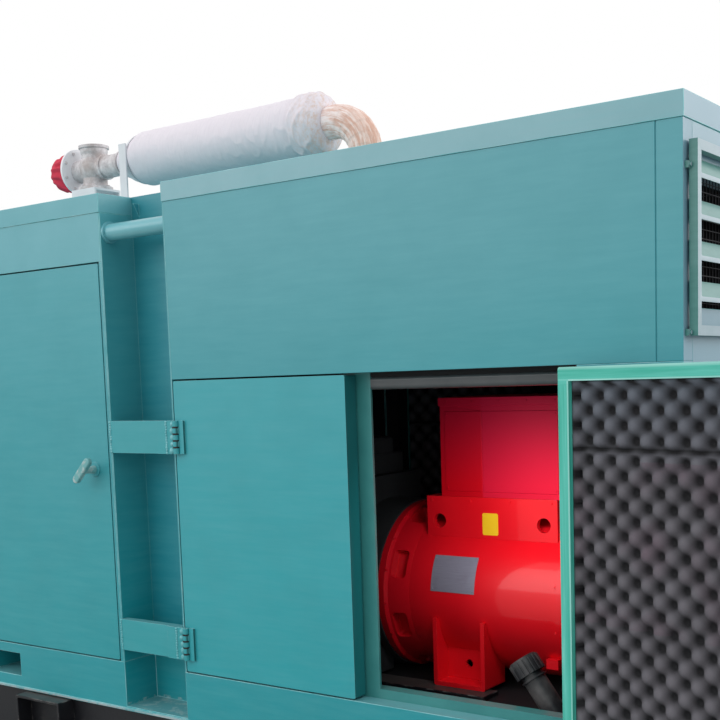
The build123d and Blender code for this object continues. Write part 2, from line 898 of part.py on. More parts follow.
def outlet_cover():
    """The bundled cloth on the blanked side, round and slack, over the short stub."""
    x_face = x_blank - tee_flange_thickness - running_gap
    x_back = x_face - cover_length
    waist = (x_face - cover_length / 2, cover_radius - cover_slack)
    with BuildSketch(Plane.XZ) as profile:
        with BuildLine():
            Line((x_face, 0), (x_face, cover_radius))
            Spline((x_face, cover_radius), waist, (x_back, 0), tangents=((-1, 0), (0, -1)))
            Line((x_back, 0), (x_face, 0))
        make_face()
    bundle = Pos(0, 0, z_pipe) * revolve(profile.sketch, Axis.X)
    stub_radius = pipe_radius - tee_ring + running_gap
    return bundle - along_x(stub_radius, x_face - blank_stub, x_face + past, 0, z_pipe)


save("outlet_cover", outlet_cover())

# Alternator
x_frame = x_right + alternator_start
x_frame_end = x_frame + alternator_length
x_cover_end = x_frame_end + end_cover_length
cover_rim = alternator_radius - end_cover_step


def alternator_frame():
    """The stator frame with its end flange, the fan cover with air slots, and a lug near its foot."""
    profile = [
        (x_frame, 0),
        (x_frame, alternator_radius),
        (x_frame_end - end_flange, alternator_radius),
        (x_frame_end - end_flange, alternator_radius + end_flange_step),
        (x_frame_end, alternator_radius + end_flange_step),
        (x_frame_end, cover_rim),
        (x_cover_end - end_cover_step, cover_rim),
        (x_cover_end, cover_rim - end_cover_step),
        (x_cover_end, end_cover_boss),
        (x_cover_end + end_flange, end_cover_boss),
        (x_cover_end + end_flange, 0),
    ]
    frame = Pos(0, 0, z_shaft) * turned(profile, Axis.X)
    slot = Box(air_slot_length, air_slot_width, 2 * air_slot_depth)
    middle = x_frame_end + (end_cover_length - end_cover_step) / 2
    for i in range(air_slot_count):
        angle = 360 * (i + 0.5) / air_slot_count
        frame -= Pos(middle, 0, z_shaft) * Rot(angle, 0, 0) * Pos(0, 0, cover_rim) * slot
    pad_z = z_rail_top + pad_rise
    pad_end = x_frame_end - pad_setback
    pad = block(pad_end - pad_width, pad_end, -pad_reach, -pad_reach / 2, pad_z, pad_z + pad_height)
    return frame + pad + far_side(pad)


save("alternator_frame", alternator_frame())

x_adaptor = x_frame - adaptor_length


def alternator_adaptor():
    """The bell between flywheel housing and frame, with windows between its ribs."""
    root = alternator_radius + adaptor_root
    profile = [
        (x_adaptor, 0),
        (x_adaptor, adaptor_radius),
        (x_adaptor + adaptor_flange, adaptor_radius),
        (x_adaptor + adaptor_flange + adaptor_shoulder, root),
        (x_frame, alternator_radius),
        (x_frame, 0),
    ]
    bell = Pos(0, 0, z_shaft) * turned(profile, Axis.X)
    window = Box(adaptor_window_length, adaptor_window_width, 2 * adaptor_window_depth)
    window = fillet(window.edges().filter_by(Axis.Z), adaptor_window_corner)
    middle = x_adaptor + adaptor_flange + (adaptor_length - adaptor_flange) / 2
    for i in range(adaptor_windows):
        angle = 360 * (i + 0.5) / adaptor_windows
        bell -= Pos(middle, 0, z_shaft) * Rot(angle, 0, 0) * Pos(0, 0, root) * window
    return bell


save("alternator_adaptor", alternator_adaptor())

x_foot = x_right + foot_start


def alternator_foot():
    """A base plate with two cheeks and a back web, cut to the frame's curve, with its bolt hole."""
    y0 = -foot_half_spread
    z_high = z_shaft - foot_top_drop
    x1 = x_foot + foot_width
    foot = block(x_foot, x1, y0, y0 + foot_depth, z_rail_top, z_rail_top + foot_web)
    for x in (x_foot, x1 - foot_web):
        foot += block(x, x + foot_web, y0, y0 + foot_depth, z_rail_top, z_high)
    foot += block(x_foot, x1, y0 + foot_back, y0 + foot_back + foot_web, z_rail_top, z_high)
    lower_rim = foot.edges().filter_by(Axis.Y).group_by(Axis.Z)[0]
    foot = fillet([edge for edge in lower_rim if edge.center().Y < y0 + foot_depth], foot_corner)
    foot -= along_y(foot_hole / 2, y0, 0, (x_foot + x1) / 2, z_rail_top + foot_back)
    return foot - along_x(alternator_radius + running_gap, x_foot - past, x1 + past, 0, z_shaft)


save("alternator_feet", both_sides([alternator_foot()]))

x_box = x_right + box_start
x_box_end = x_box + box_length
z_box = z_door + box_bottom
z_lid = z_box + box_height - box_lid


def terminal_box():
    """A folded box with a lapped lid and two cover plates on each long side."""
    y0 = -box_depth / 2
    box = block(x_box, x_box_end, y0, -y0, z_box, z_lid)
    box += block(x_box - box_lid_step, x_box_end + box_lid_step, y0 - box_lid_step, box_lid_step - y0,
                 z_lid, z_lid + box_lid)
    seam_x = x_box + box_cover_seam
    for x0, x1 in ((x_box + box_cover_border, seam_x), (seam_x + seam, x_box_end - box_cover_border)):
        cover = block(x0, x1, y0 - box_cover_step, y0, z_box + box_cover_border, z_lid - box_cover_border)
        box += cover
        box += far_side(cover)
    return box


save("terminal_box", terminal_box())

x_saddle = x_box - saddle_overhang
x_saddle_end = x_box_end - saddle_end_inset


def lifting_saddle():
    """Two upright plates with lifting eyes, joined by the shelf under the box."""
    y0 = -box_depth / 2
    z_shelf = z_box - saddle_plate
    eye_z = z_box - eye_drop
    with BuildSketch(Plane(origin=(0, y0, 0), x_dir=(1, 0, 0), z_dir=(0, -1, 0))) as outline:
        with BuildLine():
            Polyline(
                (x_saddle, z_box),
                (x_saddle, z_shaft),
                (x_saddle_end, z_shaft),
                (x_saddle_end, z_box),
                close=True,
            )
        make_face()
        with Locations((x_saddle + eye_inset, eye_z), (x_saddle_end - eye_inset, eye_z)):
            Circle(eye_bore / 2, mode=Mode.SUBTRACT)
    cheek = extrude(outline.sketch, -saddle_plate)
    saddle = cheek + far_side(cheek) + block(x_saddle, x_saddle_end, y0, -y0, z_shelf, z_box)
    return saddle - along_x(alternator_radius + running_gap, x_saddle - past, x_saddle_end + past, 0, z_shaft)


save("lifting_saddle", lifting_saddle())

# Rails, engine, cooling group
rails = []
for y in (-rail_half_gap - rail_width, rail_half_gap):
    rails.append(block(x_right + rail_start, x_right + rail_end, y, y + rail_width, z_deck, z_rail_top))
save("engine_rails", rails)

x_flywheel = x_adaptor - flywheel_length
x_engine = x_flywheel - engine_length
z_block = z_shaft - engine_drop
z_head = z_block + engine_block_height
foot_reach = rail_half_gap + rail_width - foot_rail_inset


def engine_feet(x0, width_x, y_inner, z_high):
    """A foot on each rail."""
    foot = block(x0, x0 + width_x, -foot_reach, -y_inner, z_rail_top, z_high)
    return foot + far_side(foot)


flywheel = along_x(flywheel_radius, x_flywheel, x_adaptor, 0, z_shaft)
flywheel += engine_feet(x_flywheel + foot_web, flywheel_foot_width, flywheel_inner, z_block)
save("flywheel_housing", flywheel)


def engine_block():
    """The crankcase with a tapered sump, feet and a pair of filter canisters."""
    case = block(x_engine, x_flywheel, -engine_half_width, engine_half_width, z_block, z_head)
    case += engine_feet(x_engine + engine_foot_start, engine_foot_width, engine_half_width - foot_rail_inset,
                        z_block + engine_foot_width)
    sump_x = (x_engine + x_flywheel) / 2
    sump_length = engine_length - 2 * sump_inset
    with BuildSketch(Plane.XY.offset(z_block)) as mouth:
        with Locations((sump_x, 0)):
            Rectangle(sump_length, 2 * (engine_half_width - head_inset))
    with BuildSketch(Plane.XY.offset(z_block - sump_height)) as floor:
        with Locations((sump_x, 0)):
            Rectangle(sump_length - 2 * sump_taper, 2 * (engine_half_width - head_inset - sump_taper))
    case += loft([mouth.sketch, floor.sketch])
    for i in range(filter_count):
        x = sump_x + i * filter_spacing
        y = -engine_half_width - filter_radius
        z0 = z_block + filter_spacing
        can = along_z(filter_radius, z0, z0 + filter_length, x, y)
        can = fillet(can.edges().filter_by(GeomType.CIRCLE), filter_corner)
        case += can
        case += block(x - filter_radius, x + filter_radius, y, -engine_half_width, z0 + filter_length,
                      z0 + filter_length + filter_radius)
    return case


def engine_head():
    """The head slab with one rounded rocker cover over each cylinder."""
    x0 = x_engine + head_inset
    x1 = x_flywheel - head_inset
    z1 = z_head + head_height
    head = block(x0, x1, -head_half_width, head_half_width, z_head, z1)
    pitch = (x1 - x0) / cylinder_count
    for i in range(cylinder_count):
        c0 = x0 + i * pitch + cover_gap / 2
        rocker = block(c0, c0 + pitch - cover_gap, -rocker_half_width, rocker_half_width,
                       z1, z1 + rocker_height)
        top_rim = rocker.faces().sort_by(Axis.Z)[-1].edges()
        head += fillet(top_rim, rocker_corner)
    return head


save("engine_block", engine_block())
save("engine_head", engine_head())

z_manifold = z_head + manifold_rise
manifold_y = -head_half_width - manifold_radius


def exhaust_downpipe():
    """The manifold log beside the head, and the pipe that turns up to the riser."""
    with BuildLine() as path:
        FilletPolyline(
            (x_engine + engine_foot_start, manifold_y, z_manifold),
            (x_riser, manifold_y, z_manifold),
            (x_riser, manifold_y, z_manifold + downpipe_rise),
            (x_riser, 0, z_riser - downpipe_rise),
            (x_riser, 0, z_riser),
            radius=downpipe_bend,
        )
    with BuildSketch(Plane(origin=path.line @ 0, z_dir=path.line % 0)) as section:
        Circle(manifold_radius)
    return sweep(section.sketch, path.line)


save("exhaust_downpipe", exhaust_downpipe())

x_radiator = x_left + radiator_setback
x_core_back = x_radiator + radiator_thickness
z_radiator_top = z_deck + radiator_height
radiator_half = radiator_width / 2


def radiator():
    """Rounded header tanks, side channels and a core set back between them with its stiffening ribs."""
    low_tank = block(x_radiator, x_core_back, -radiator_half, radiator_half, z_deck, z_deck + tank_height)
    high_tank = block(x_radiator, x_core_back, -radiator_half, radiator_half,
                      z_radiator_top - tank_height, z_radiator_top)
    high_tank = fillet(high_tank.faces().sort_by(Axis.Z)[-1].edges().filter_by(Axis.Y), tank_corner)
    z0 = z_deck + tank_height
    z1 = z_radiator_top - tank_height
    group = low_tank + high_tank
    for y in (-radiator_half, radiator_half - side_channel):
        group += block(x_radiator, x_core_back, y, y + side_channel, z0, z1)
    group += block(x_radiator + core_recess, x_core_back - core_recess, side_channel - radiator_half,
                   radiator_half - side_channel, z0, z1)
    step = (z1 - z0) / (core_rib_count + 1)
    for i in range(core_rib_count):
        z = z0 + (i + 1) * step
        group += block(x_radiator + core_recess / 2, x_core_back - core_recess / 2,
                       side_channel - radiator_half, radiator_half - side_channel,
                       z - core_rib / 2, z + core_rib / 2)
    return group


save("radiator", radiator())

z_fan = z_deck + radiator_height / 2
ring_radius = fan_radius + ring_wall


def fan_shroud():
    """A flat plate on side returns, with the ring that the fan turns in."""
    edge = radiator_half - shroud_margin
    z0 = z_deck + shroud_margin
    z1 = z_radiator_top - shroud_margin
    x_plate = x_core_back + shroud_side_depth
    shroud = block(x_core_back, x_plate + shroud_plate, -edge, edge, z0, z1)
    shroud -= block(x_core_back - past, x_plate, shroud_plate - edge, edge - shroud_plate,
                    z0 + shroud_plate, z1 - shroud_plate)
    shroud += along_x(ring_radius, x_plate, x_core_back + ring_depth, 0, z_fan)
    return shroud - along_x(fan_radius, x_core_back - past, x_core_back + ring_depth + past, 0, z_fan)


save("fan_shroud", fan_shroud())

x_fan = x_core_back + fan_setback


def fan_blade():
    """One twisted blade, lofted from its broad root to its flatter tip."""
    tip = fan_radius - fan_clearance
    with BuildSketch(Plane.XY.offset(fan_hub / 2)) as root:
        Rectangle(blade_thickness, blade_root, rotation=root_pitch)
    with BuildSketch(Plane.XY.offset(tip)) as end:
        Rectangle(blade_thickness, blade_tip, rotation=tip_pitch)
    return loft([root.sketch, end.sketch])


def fan():
    wheel = along_x(fan_hub, x_fan - fan_hub_length / 2, x_fan + fan_hub_length / 2, 0, z_fan)
    wheel += along_x(fan_shaft, x_fan, x_engine, 0, z_fan)
    blade = fan_blade()
    for i in range(fan_blades):
        wheel += Pos(x_fan, 0, z_fan) * Rot(360 * i / fan_blades, 0, 0) * blade
    return wheel


save("fan", fan())


# Fuel filler on the base, leaning towards the opening
def filler_cap():
    """A round cap with finger grooves round its edge."""
    with BuildSketch() as outline:
        Circle(filler_cap_radius)
        with PolarLocations(filler_cap_radius, filler_cap_ribs):
            Circle(filler_cap_groove, mode=Mode.SUBTRACT)
    cap = extrude(outline.sketch, filler_cap_length)
    collar = Cylinder(filler_cap_radius - filler_bead, filler_bead)
    return cap + Pos(0, 0, filler_cap_length + filler_bead / 2) * collar


def fuel_filler():
    x_filler = x_right + filler_x
    lean = Pos(x_filler, filler_depth - half, z_deck) * Rot(0, -filler_tilt, 0)
    neck = lean * Pos(0, 0, filler_length / 2) * Cylinder(filler_radius, filler_length)
    bead = Cylinder(filler_radius + filler_bead, filler_bead)
    neck += lean * Pos(0, 0, filler_length - 3 * filler_bead) * bead
    neck -= block(x_filler - filler_length, x_filler + filler_length, -half, 0,
                  z_deck - filler_length, z_deck)
    return neck + lean * Pos(0, 0, filler_length) * filler_cap()


save("fuel_filler", fuel_filler())
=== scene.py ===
import bpy
import bmesh
import json
import math
from mathutils import Matrix, Vector, noise


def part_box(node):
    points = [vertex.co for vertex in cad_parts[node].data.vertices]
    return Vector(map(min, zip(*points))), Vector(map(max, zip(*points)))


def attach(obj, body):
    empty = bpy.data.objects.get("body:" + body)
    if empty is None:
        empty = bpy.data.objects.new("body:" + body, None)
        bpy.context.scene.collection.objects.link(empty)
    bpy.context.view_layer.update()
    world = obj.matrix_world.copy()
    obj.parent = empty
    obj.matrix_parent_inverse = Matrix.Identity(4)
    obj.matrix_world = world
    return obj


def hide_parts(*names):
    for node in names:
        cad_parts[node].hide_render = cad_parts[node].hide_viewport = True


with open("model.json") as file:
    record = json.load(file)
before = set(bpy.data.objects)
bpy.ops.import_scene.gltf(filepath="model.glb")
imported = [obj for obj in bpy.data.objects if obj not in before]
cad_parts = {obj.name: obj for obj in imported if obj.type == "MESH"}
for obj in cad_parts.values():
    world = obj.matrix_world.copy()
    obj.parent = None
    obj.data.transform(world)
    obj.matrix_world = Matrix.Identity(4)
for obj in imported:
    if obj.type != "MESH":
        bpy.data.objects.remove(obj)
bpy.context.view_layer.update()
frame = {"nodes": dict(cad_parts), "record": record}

# Skid
# Two folded channels with box cross members, sprayed black on the shop floor and since
# scuffed by forks and chains. The bearer ends are short square tubes welded to the rails.


class Wire:
    """An output of a node. Sums and products of wires add the nodes that work them out."""

    def __init__(self, board, socket):
        self.board = board
        self.socket = socket

    def math(self, operation, *others):
        return self.board.node("ShaderNodeMath", {"operation": operation}, dict(enumerate((self,) + others)))

    def flipped(self, operation, other):
        return self.board.node("ShaderNodeMath", {"operation": operation}, {0: other, 1: self})

    def __add__(self, other):
        return self.math("ADD", other)

    def __sub__(self, other):
        return self.math("SUBTRACT", other)

    def __mul__(self, other):
        return self.math("MULTIPLY", other)

    def __radd__(self, other):
        return self.flipped("ADD", other)

    def __rsub__(self, other):
        return self.flipped("SUBTRACT", other)

    def __rmul__(self, other):
        return self.flipped("MULTIPLY", other)

    def above(self, low, high):
        """0 below low, 1 over high, and an even ramp between them."""
        return self.board.node("ShaderNodeMapRange", {"clamp": True},
                               {"Value": self, "From Min": low, "From Max": high})

    def within(self, low, high):
        """1 between two numbers and 0 outside them."""
        return self.math("GREATER_THAN", low) * self.math("LESS_THAN", high)


class Board:
    """A node tree that is filled one node at a time."""

    def __init__(self, tree):
        self.tree = tree
        tree.nodes.clear()

    def node(self, kind, settings, values, out=0):
        made = self.tree.nodes.new(kind)
        for key, value in settings.items():
            setattr(made, key, value)
        for key, value in values.items():
            if isinstance(value, Wire):
                self.tree.links.new(value.socket, made.inputs[key])
            elif value is not None:
                socket = made.inputs[key]
                if socket.type == "RGBA" and len(value) == 3:
                    value = (*value, 1.0)
                socket.default_value = value
        return Wire(self, made.outputs[out] if made.outputs else None)

    def mix(self, share, low, high):
        """A colour between two colours."""
        return self.node("ShaderNodeMix", {"data_type": "RGBA", "clamp_factor": True},
                         {0: share, 6: low, 7: high}, 2)

    def place(self, stretch=(1.0, 1.0, 1.0)):
        """The point on the piece in metres, with each axis stretched."""
        spot = self.node("ShaderNodeTexCoord", {}, {}, "Object")
        return self.node("ShaderNodeVectorMath", {"operation": "MULTIPLY"}, {0: spot, 1: stretch})

    def noise(self, spot, scale, detail=2.0, rough=0.5):
        return self.node("ShaderNodeTexNoise", {},
                         {"Vector": spot, "Scale": scale, "Detail": detail, "Roughness": rough})

    def axis(self, spot, letter):
        """One coordinate of a point, in metres."""
        return self.node("ShaderNodeSeparateXYZ", {}, {0: spot}, letter)

    def facing(self, letter):
        """How far the surface looks along one axis, from -1 to 1."""
        return self.axis(self.node("ShaderNodeNewGeometry", {}, {}, "Normal"), letter)

    def stored(self, name, out="Fac"):
        """A number, or a vector, that the mesh carries at each point."""
        return self.node("ShaderNodeAttribute", {"attribute_name": name}, {}, out)

    def relief(self, level, distance, strength=1.0, under=None):
        return self.node("ShaderNodeBump", {}, {"Height": level, "Distance": distance, "Strength": strength,
                                                "Normal": under})


def finish_of(name, paint):
    """A material whose look is built by a function on its board."""
    made = bpy.data.materials.new(name)
    made.use_nodes = True
    board = Board(made.node_tree)
    shader = board.node("ShaderNodeBsdfPrincipled", {}, paint(board))
    board.node("ShaderNodeOutputMaterial", {}, {"Surface": shader})
    return made


def smooth_bend_tree():
    """A tree that shades smoothly across gentle bends and keeps the sharp ones."""
    tree = bpy.data.node_groups.new("smooth_bends", "GeometryNodeTree")
    tree.interface.new_socket("Geometry", in_out="INPUT", socket_type="NodeSocketGeometry")
    tree.interface.new_socket("Sharpest bend", in_out="INPUT", socket_type="NodeSocketFloat")
    tree.interface.new_socket("Geometry", in_out="OUTPUT", socket_type="NodeSocketGeometry")
    board = Board(tree)
    entry = tree.nodes.new("NodeGroupInput")
    bend = board.node("GeometryNodeInputMeshEdgeAngle", {}, {}, "Unsigned Angle")
    gentle = board.node("FunctionNodeCompare", {"data_type": "FLOAT", "operation": "LESS_THAN"},
                        {0: bend, 1: Wire(board, entry.outputs["Sharpest bend"])})
    faces = board.node("GeometryNodeSetShadeSmooth", {"domain": "FACE"},
                       {"Geometry": Wire(board, entry.outputs["Geometry"]), "Shade Smooth": True})
    edges = board.node("GeometryNodeSetShadeSmooth", {"domain": "EDGE"},
                       {"Geometry": faces, "Shade Smooth": gentle})
    leave = tree.nodes.new("NodeGroupOutput")
    tree.links.new(edges.socket, leave.inputs[0])
    return tree


smooth_bends = smooth_bend_tree()
weld_gap = 0.00002
flat_bend, smooth_bend, sharp_bend = (math.radians(degrees) for degrees in (0.4, 34.0, 50.0))


def set_input(modifier, label, value):
    """Fill one named input of a tree on a modifier."""
    for item in modifier.node_group.interface.items_tree:
        if item.in_out == "INPUT" and item.name == label:
            modifier[item.identifier] = value


def dress(node, finish, edge_finish=None, edge=0.0):
    """Give a CAD node its finish, and softened edges with a finish of their own where it has them."""
    thing = frame["nodes"][node]
    slots = thing.data.materials
    slots.clear()
    slots.append(finish)
    weld = thing.modifiers.new("weld", "WELD")
    weld.merge_threshold = weld_gap
    whole = thing.modifiers.new("whole_faces", "DECIMATE")
    whole.decimate_type = "DISSOLVE"
    whole.angle_limit = flat_bend
    if edge:
        slots.append(edge_finish or finish)
        bevel = thing.modifiers.new("edge", "BEVEL")
        bevel.width = edge
        bevel.segments = 2
        bevel.limit_method = "ANGLE"
        bevel.angle_limit = sharp_bend
        bevel.material = 1
        bevel.use_clamp_overlap = True
    smooth = thing.modifiers.new("smooth", "NODES")
    smooth.node_group = smooth_bends
    set_input(smooth, "Sharpest bend", smooth_bend)
    flat = thing.modifiers.new("flat_faces", "WEIGHTED_NORMAL")
    flat.keep_sharp = True


def chassis_paint(b):
    spot = b.place()
    rub = b.noise(spot, 9.0, 6.0, 0.65).above(0.58, 0.70)
    dust = b.facing("Z").above(0.3, 1.0) * b.noise(spot, 5.0, 3.0)
    dark = b.mix(rub, (0.007, 0.007, 0.010), (0.030, 0.028, 0.028))
    return {
        "Base Color": b.mix(dust * 0.6, dark, (0.13, 0.12, 0.11)),
        "Roughness": 0.48 + rub * 0.2,
        "Normal": b.relief(b.noise(spot, 60.0, 3.0), 0.0006),
    }


def scuffed_edge(b):
    chips = b.noise(b.place(), 22.0, 5.0, 0.7).above(0.48, 0.62)
    return {"Base Color": b.mix(chips, (0.009, 0.009, 0.012), (0.12, 0.115, 0.11)),
            "Roughness": 0.5 + chips * 0.2}


skid_paint = finish_of("chassis_black", chassis_paint)
skid_edge = finish_of("scuffed_chassis_edge", scuffed_edge)
for node in ("skid_rails", "skid_cross_members", "bearer_ends", "engine_rails"):
    dress(node, skid_paint, skid_edge, 0.003)

# Canopy sheets and base
# Two-millimetre sheet steel, folded and welded, rolled with a half-gloss teal enamel outside and
# lined with dark foam inside. The enamel is painted paler towards the roof as a painted sheen of
# the sky, and the folded edges are painted paler as a painted highlight.

x_left, y_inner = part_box("left_end_wall")[0][0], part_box("left_end_wall")[1][1]
x_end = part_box("right_end_wall")[1][0]
wall = x_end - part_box("right_end_wall")[0][0]
x_corner_in, x_right_in = (corner[0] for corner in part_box("recess_returns"))
y_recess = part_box("recess_roof")[1][1]
z_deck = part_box("engine_rails")[0][2]
z_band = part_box("right_roof")[0][2]
z_lip, z_ledge = 0.259, 0.275
z_sill, z_eaves = 0.4, 2.0
skin = 0.0006
# Pale blue grey for faces at the right end: a painted sheen of the bright sky.
end_sheen_tone = (0.17, 0.32, 0.40)


def inside_share(b, spot):
    """1 on the faces that look into the canopy, and 0 on the ones outside."""
    x = b.axis(spot, "X")
    y = b.axis(spot, "Y").math("ABSOLUTE")
    z = b.axis(spot, "Z")
    left = x.within(x_left + wall - skin, x_corner_in + skin) * y.math("LESS_THAN", y_inner + skin)
    right = x.within(x_right_in - skin, x_end - wall + skin) * y.math("LESS_THAN", y_inner + skin)
    middle = x.within(x_corner_in, x_right_in) * y.math("LESS_THAN", y_recess + skin)
    return left.math("MAXIMUM", right).math("MAXIMUM", middle) * z.within(z_deck - skin, z_band + skin)


def sill_wear(b, spot, tone):
    """Pale rubbed metal along the bottom lip of the base, and scuffs on the ledge in the recess."""
    z = b.axis(spot, "Z")
    lip = z.math("LESS_THAN", z_lip) * b.noise(spot, 14.0, 4.0, 0.65).above(0.36, 0.50)
    ledge = z.math("LESS_THAN", z_ledge) * b.axis(spot, "X").within(x_corner_in, x_right_in)
    scuffs = ledge * b.noise(spot, 26.0, 5.0, 0.7).above(0.50, 0.60)
    tone = b.mix(scuffs * 0.8, tone, (0.34, 0.50, 0.50))
    return b.mix(lip * 0.8, tone, (0.50, 0.45, 0.46))


def sheet_enamel(low_tone, high_tone, gloss, lined):
    """Teal enamel, from its tone near the sill to a paler tone under the roof, which is a painted sky sheen.
    """
    def paint(b):
        spot = b.place()
        cloud = b.noise(spot, 1.7, 4.0)
        strokes = b.noise(b.place((1.5, 1.5, 14.0)), 3.0, 4.0, 0.62)
        # The ramp from low tone to high tone with height is a painted sheen of the bright sky.
        height = (b.axis(spot, "Z") + (cloud - 0.5) * 0.7 + (strokes - 0.5) * 0.15).above(z_sill, z_eaves)
        tone = b.mix(height, low_tone, high_tone)
        tone = b.mix((strokes - 0.5) * 0.5 + 0.06, tone, (0.12, 0.44, 0.48))
        tone = b.mix((b.noise(spot, 7.0, 3.0) - 0.5) * 0.5 + 0.05, tone, (0.012, 0.24, 0.27))
        tone = b.mix(b.facing("Z").above(0.6, 1.0) * 0.5, tone, (0.22, 0.42, 0.44))
        rough = 0.36 + cloud * 0.14
        if lined:
            # Faces at the right end take the pale end tone, a painted sky sheen.
            end = b.facing("X").above(0.6, 0.8) * b.axis(spot, "X").math("GREATER_THAN", x_end - 0.004)
            tone = sill_wear(b, spot, b.mix(end, tone, end_sheen_tone))
            dark = inside_share(b, spot)
            tone = b.mix(dark, tone, (0.008, 0.008, 0.010))
            rough = rough + dark * 0.45
        peel = b.noise(spot, 210.0, 2.0)
        brushed = b.noise(b.place((3.0, 3.0, 60.0)), 4.0, 3.0, 0.6)
        waves = b.relief(b.noise(spot, 1.4, 1.0), 0.035, 0.4)
        return {
            "Base Color": tone,
            "Roughness": rough,
            "Coat Weight": gloss,
            "Coat Roughness": 0.24,
            "Normal": b.relief(peel, 0.0003, 0.35, b.relief(brushed, 0.0005, 0.22, waves)),
        }
    return paint


def edge_highlight_enamel(b):
    """Paler enamel on the rounded folds: a painted highlight where the edges catch the light."""
    highlight_share = b.noise(b.place(), 9.0, 3.0, 0.6).above(0.35, 0.75)
    return {"Base Color": b.mix(highlight_share, (0.10, 0.43, 0.46), (0.36, 0.64, 0.66)), "Roughness": 0.26}


teal = finish_of("teal_enamel", sheet_enamel((0.008, 0.305, 0.350), (0.072, 0.335, 0.385), 0.22, True))
teal_highlight_edge = finish_of("teal_highlight_edge", edge_highlight_enamel)
for node in ("base_tray", "right_side_panels", "left_side_panels", "corner_posts", "recess_returns",
             "recess_roof"):
    dress(node, teal, teal_highlight_edge, 0.0018)
dress("right_upper_panels", teal, None, 0.0014)
strip_teal = finish_of("strip_enamel", sheet_enamel((0.04, 0.36, 0.41), (0.125, 0.40, 0.455), 0.3, True))
for node in ("over_door_strips", "left_roof"):
    dress(node, strip_teal, teal_highlight_edge, 0.0018)
roof_teal = finish_of("roof_enamel", sheet_enamel((0.11, 0.38, 0.42), (0.20, 0.42, 0.47), 0.35, True))
dress("right_roof", roof_teal, teal_highlight_edge, 0.0018)

# The recess backs are painted darker, and paler at the top than the other sheets: painted shade in the
# recess.
recess_shade_teal = finish_of("recess_shade_enamel",
                        sheet_enamel((0.010, 0.250, 0.310), (0.024, 0.260, 0.320), 0.15, True))
dress("recess_backs", recess_shade_teal, teal_highlight_edge, 0.0012)
end_sheen_teal = finish_of("end_wall_sheen_enamel", sheet_enamel((0.13, 0.30, 0.38), (0.22, 0.34, 0.43), 0.4, True))
for node in ("right_end_wall", "left_end_wall"):
    dress(node, end_sheen_teal, teal_highlight_edge, 0.002)
bar_teal = finish_of("bar_enamel", sheet_enamel((0.06, 0.39, 0.44), (0.15, 0.45, 0.51), 0.7, False))
dress("lifting_bars", bar_teal)

# Hinge arms, hinges and weld beads
# Thick straps cut from flat bar and stitched to the corner with beads of weld, which the enamel
# covers. The barrels are ordinary weld-on hinge barrels, five to a hinge.

strap_teal = finish_of("strap_enamel", sheet_enamel((0.020, 0.34, 0.375), (0.050, 0.36, 0.40), 0.25, False))
for node in ("hinge_arms", "jamb_hinges"):
    dress(node, strap_teal, teal_highlight_edge, 0.0014)


def carve(name, sizes, build):
    """A tree of geometry nodes whose named inputs give its sizes and its finish."""
    tree = bpy.data.node_groups.new(name, "GeometryNodeTree")
    tree.interface.new_socket("Geometry", in_out="INPUT", socket_type="NodeSocketGeometry")
    for label, kind in sizes.items():
        tree.interface.new_socket(label, in_out="INPUT", socket_type=kind)
    tree.interface.new_socket("Finish", in_out="INPUT", socket_type="NodeSocketMaterial")
    tree.interface.new_socket("Geometry", in_out="OUTPUT", socket_type="NodeSocketGeometry")
    board = Board(tree)
    entry = tree.nodes.new("NodeGroupInput")
    ends = {label: Wire(board, entry.outputs[label]) for label in ("Geometry", "Finish", *sizes)}
    plain = board.node("GeometryNodeRealizeInstances", {}, {"Geometry": build(board, ends)})
    painted = board.node("GeometryNodeSetMaterial", {}, {"Geometry": plain, "Material": ends["Finish"]})
    leave = tree.nodes.new("NodeGroupOutput")
    tree.links.new(painted.socket, leave.inputs[0])
    return tree


def piece(name, mesh, body, slot, *finishes):
    """A finished piece on a body. The slot that it is given is not used."""
    made = bpy.data.objects.new(name, mesh)
    bpy.context.scene.collection.objects.link(made)
    for finish in finishes:
        mesh.materials.append(finish)
    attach(made, body)
    return made


def grow(name, points, looks, tree, body, slot, finish, **values):
    """Run a tree on a cloud of points that each look some way, and keep its plain mesh."""
    cloud = bpy.data.meshes.new(name + "_points")
    cloud.from_pydata([tuple(point) for point in points], [], [])
    ways = cloud.attributes.new("look", "FLOAT_VECTOR", "POINT")
    for entry, look in zip(ways.data, looks):
        entry.vector = look
    carrier = bpy.data.objects.new(name + "_carrier", cloud)
    bpy.context.scene.collection.objects.link(carrier)
    modifier = carrier.modifiers.new("pattern", "NODES")
    modifier.node_group = tree
    set_input(modifier, "Finish", finish)
    for label, value in values.items():
        set_input(modifier, label, value)
    graph = bpy.context.evaluated_depsgraph_get()
    mesh = bpy.data.meshes.new_from_object(carrier.evaluated_get(graph))
    bpy.data.objects.remove(carrier)
    return piece(name, mesh, body, slot)


def aimed(b):
    """The turn that points a copy's Z the way its point looks."""
    look = b.node("GeometryNodeInputNamedAttribute", {"data_type": "FLOAT_VECTOR"}, {"Name": "look"})
    return b.node("FunctionNodeAlignRotationToVector", {"axis": "Z"}, {"Vector": look})


def bead_build(b, ends):
    """Overlapping lumps of weld, each a little different."""
    lump = b.node("GeometryNodeMeshIcoSphere", {}, {"Radius": ends["lump"], "Subdivisions": 2})
    size = b.node("FunctionNodeRandomValue", {"data_type": "FLOAT_VECTOR"},
                  {0: (0.75, 0.75, 0.7), 1: (1.15, 1.2, 1.05), "Seed": 7})
    return b.node("GeometryNodeInstanceOnPoints", {}, {"Points": ends["Geometry"], "Instance": lump,
                                                      "Rotation": aimed(b), "Scale": size})


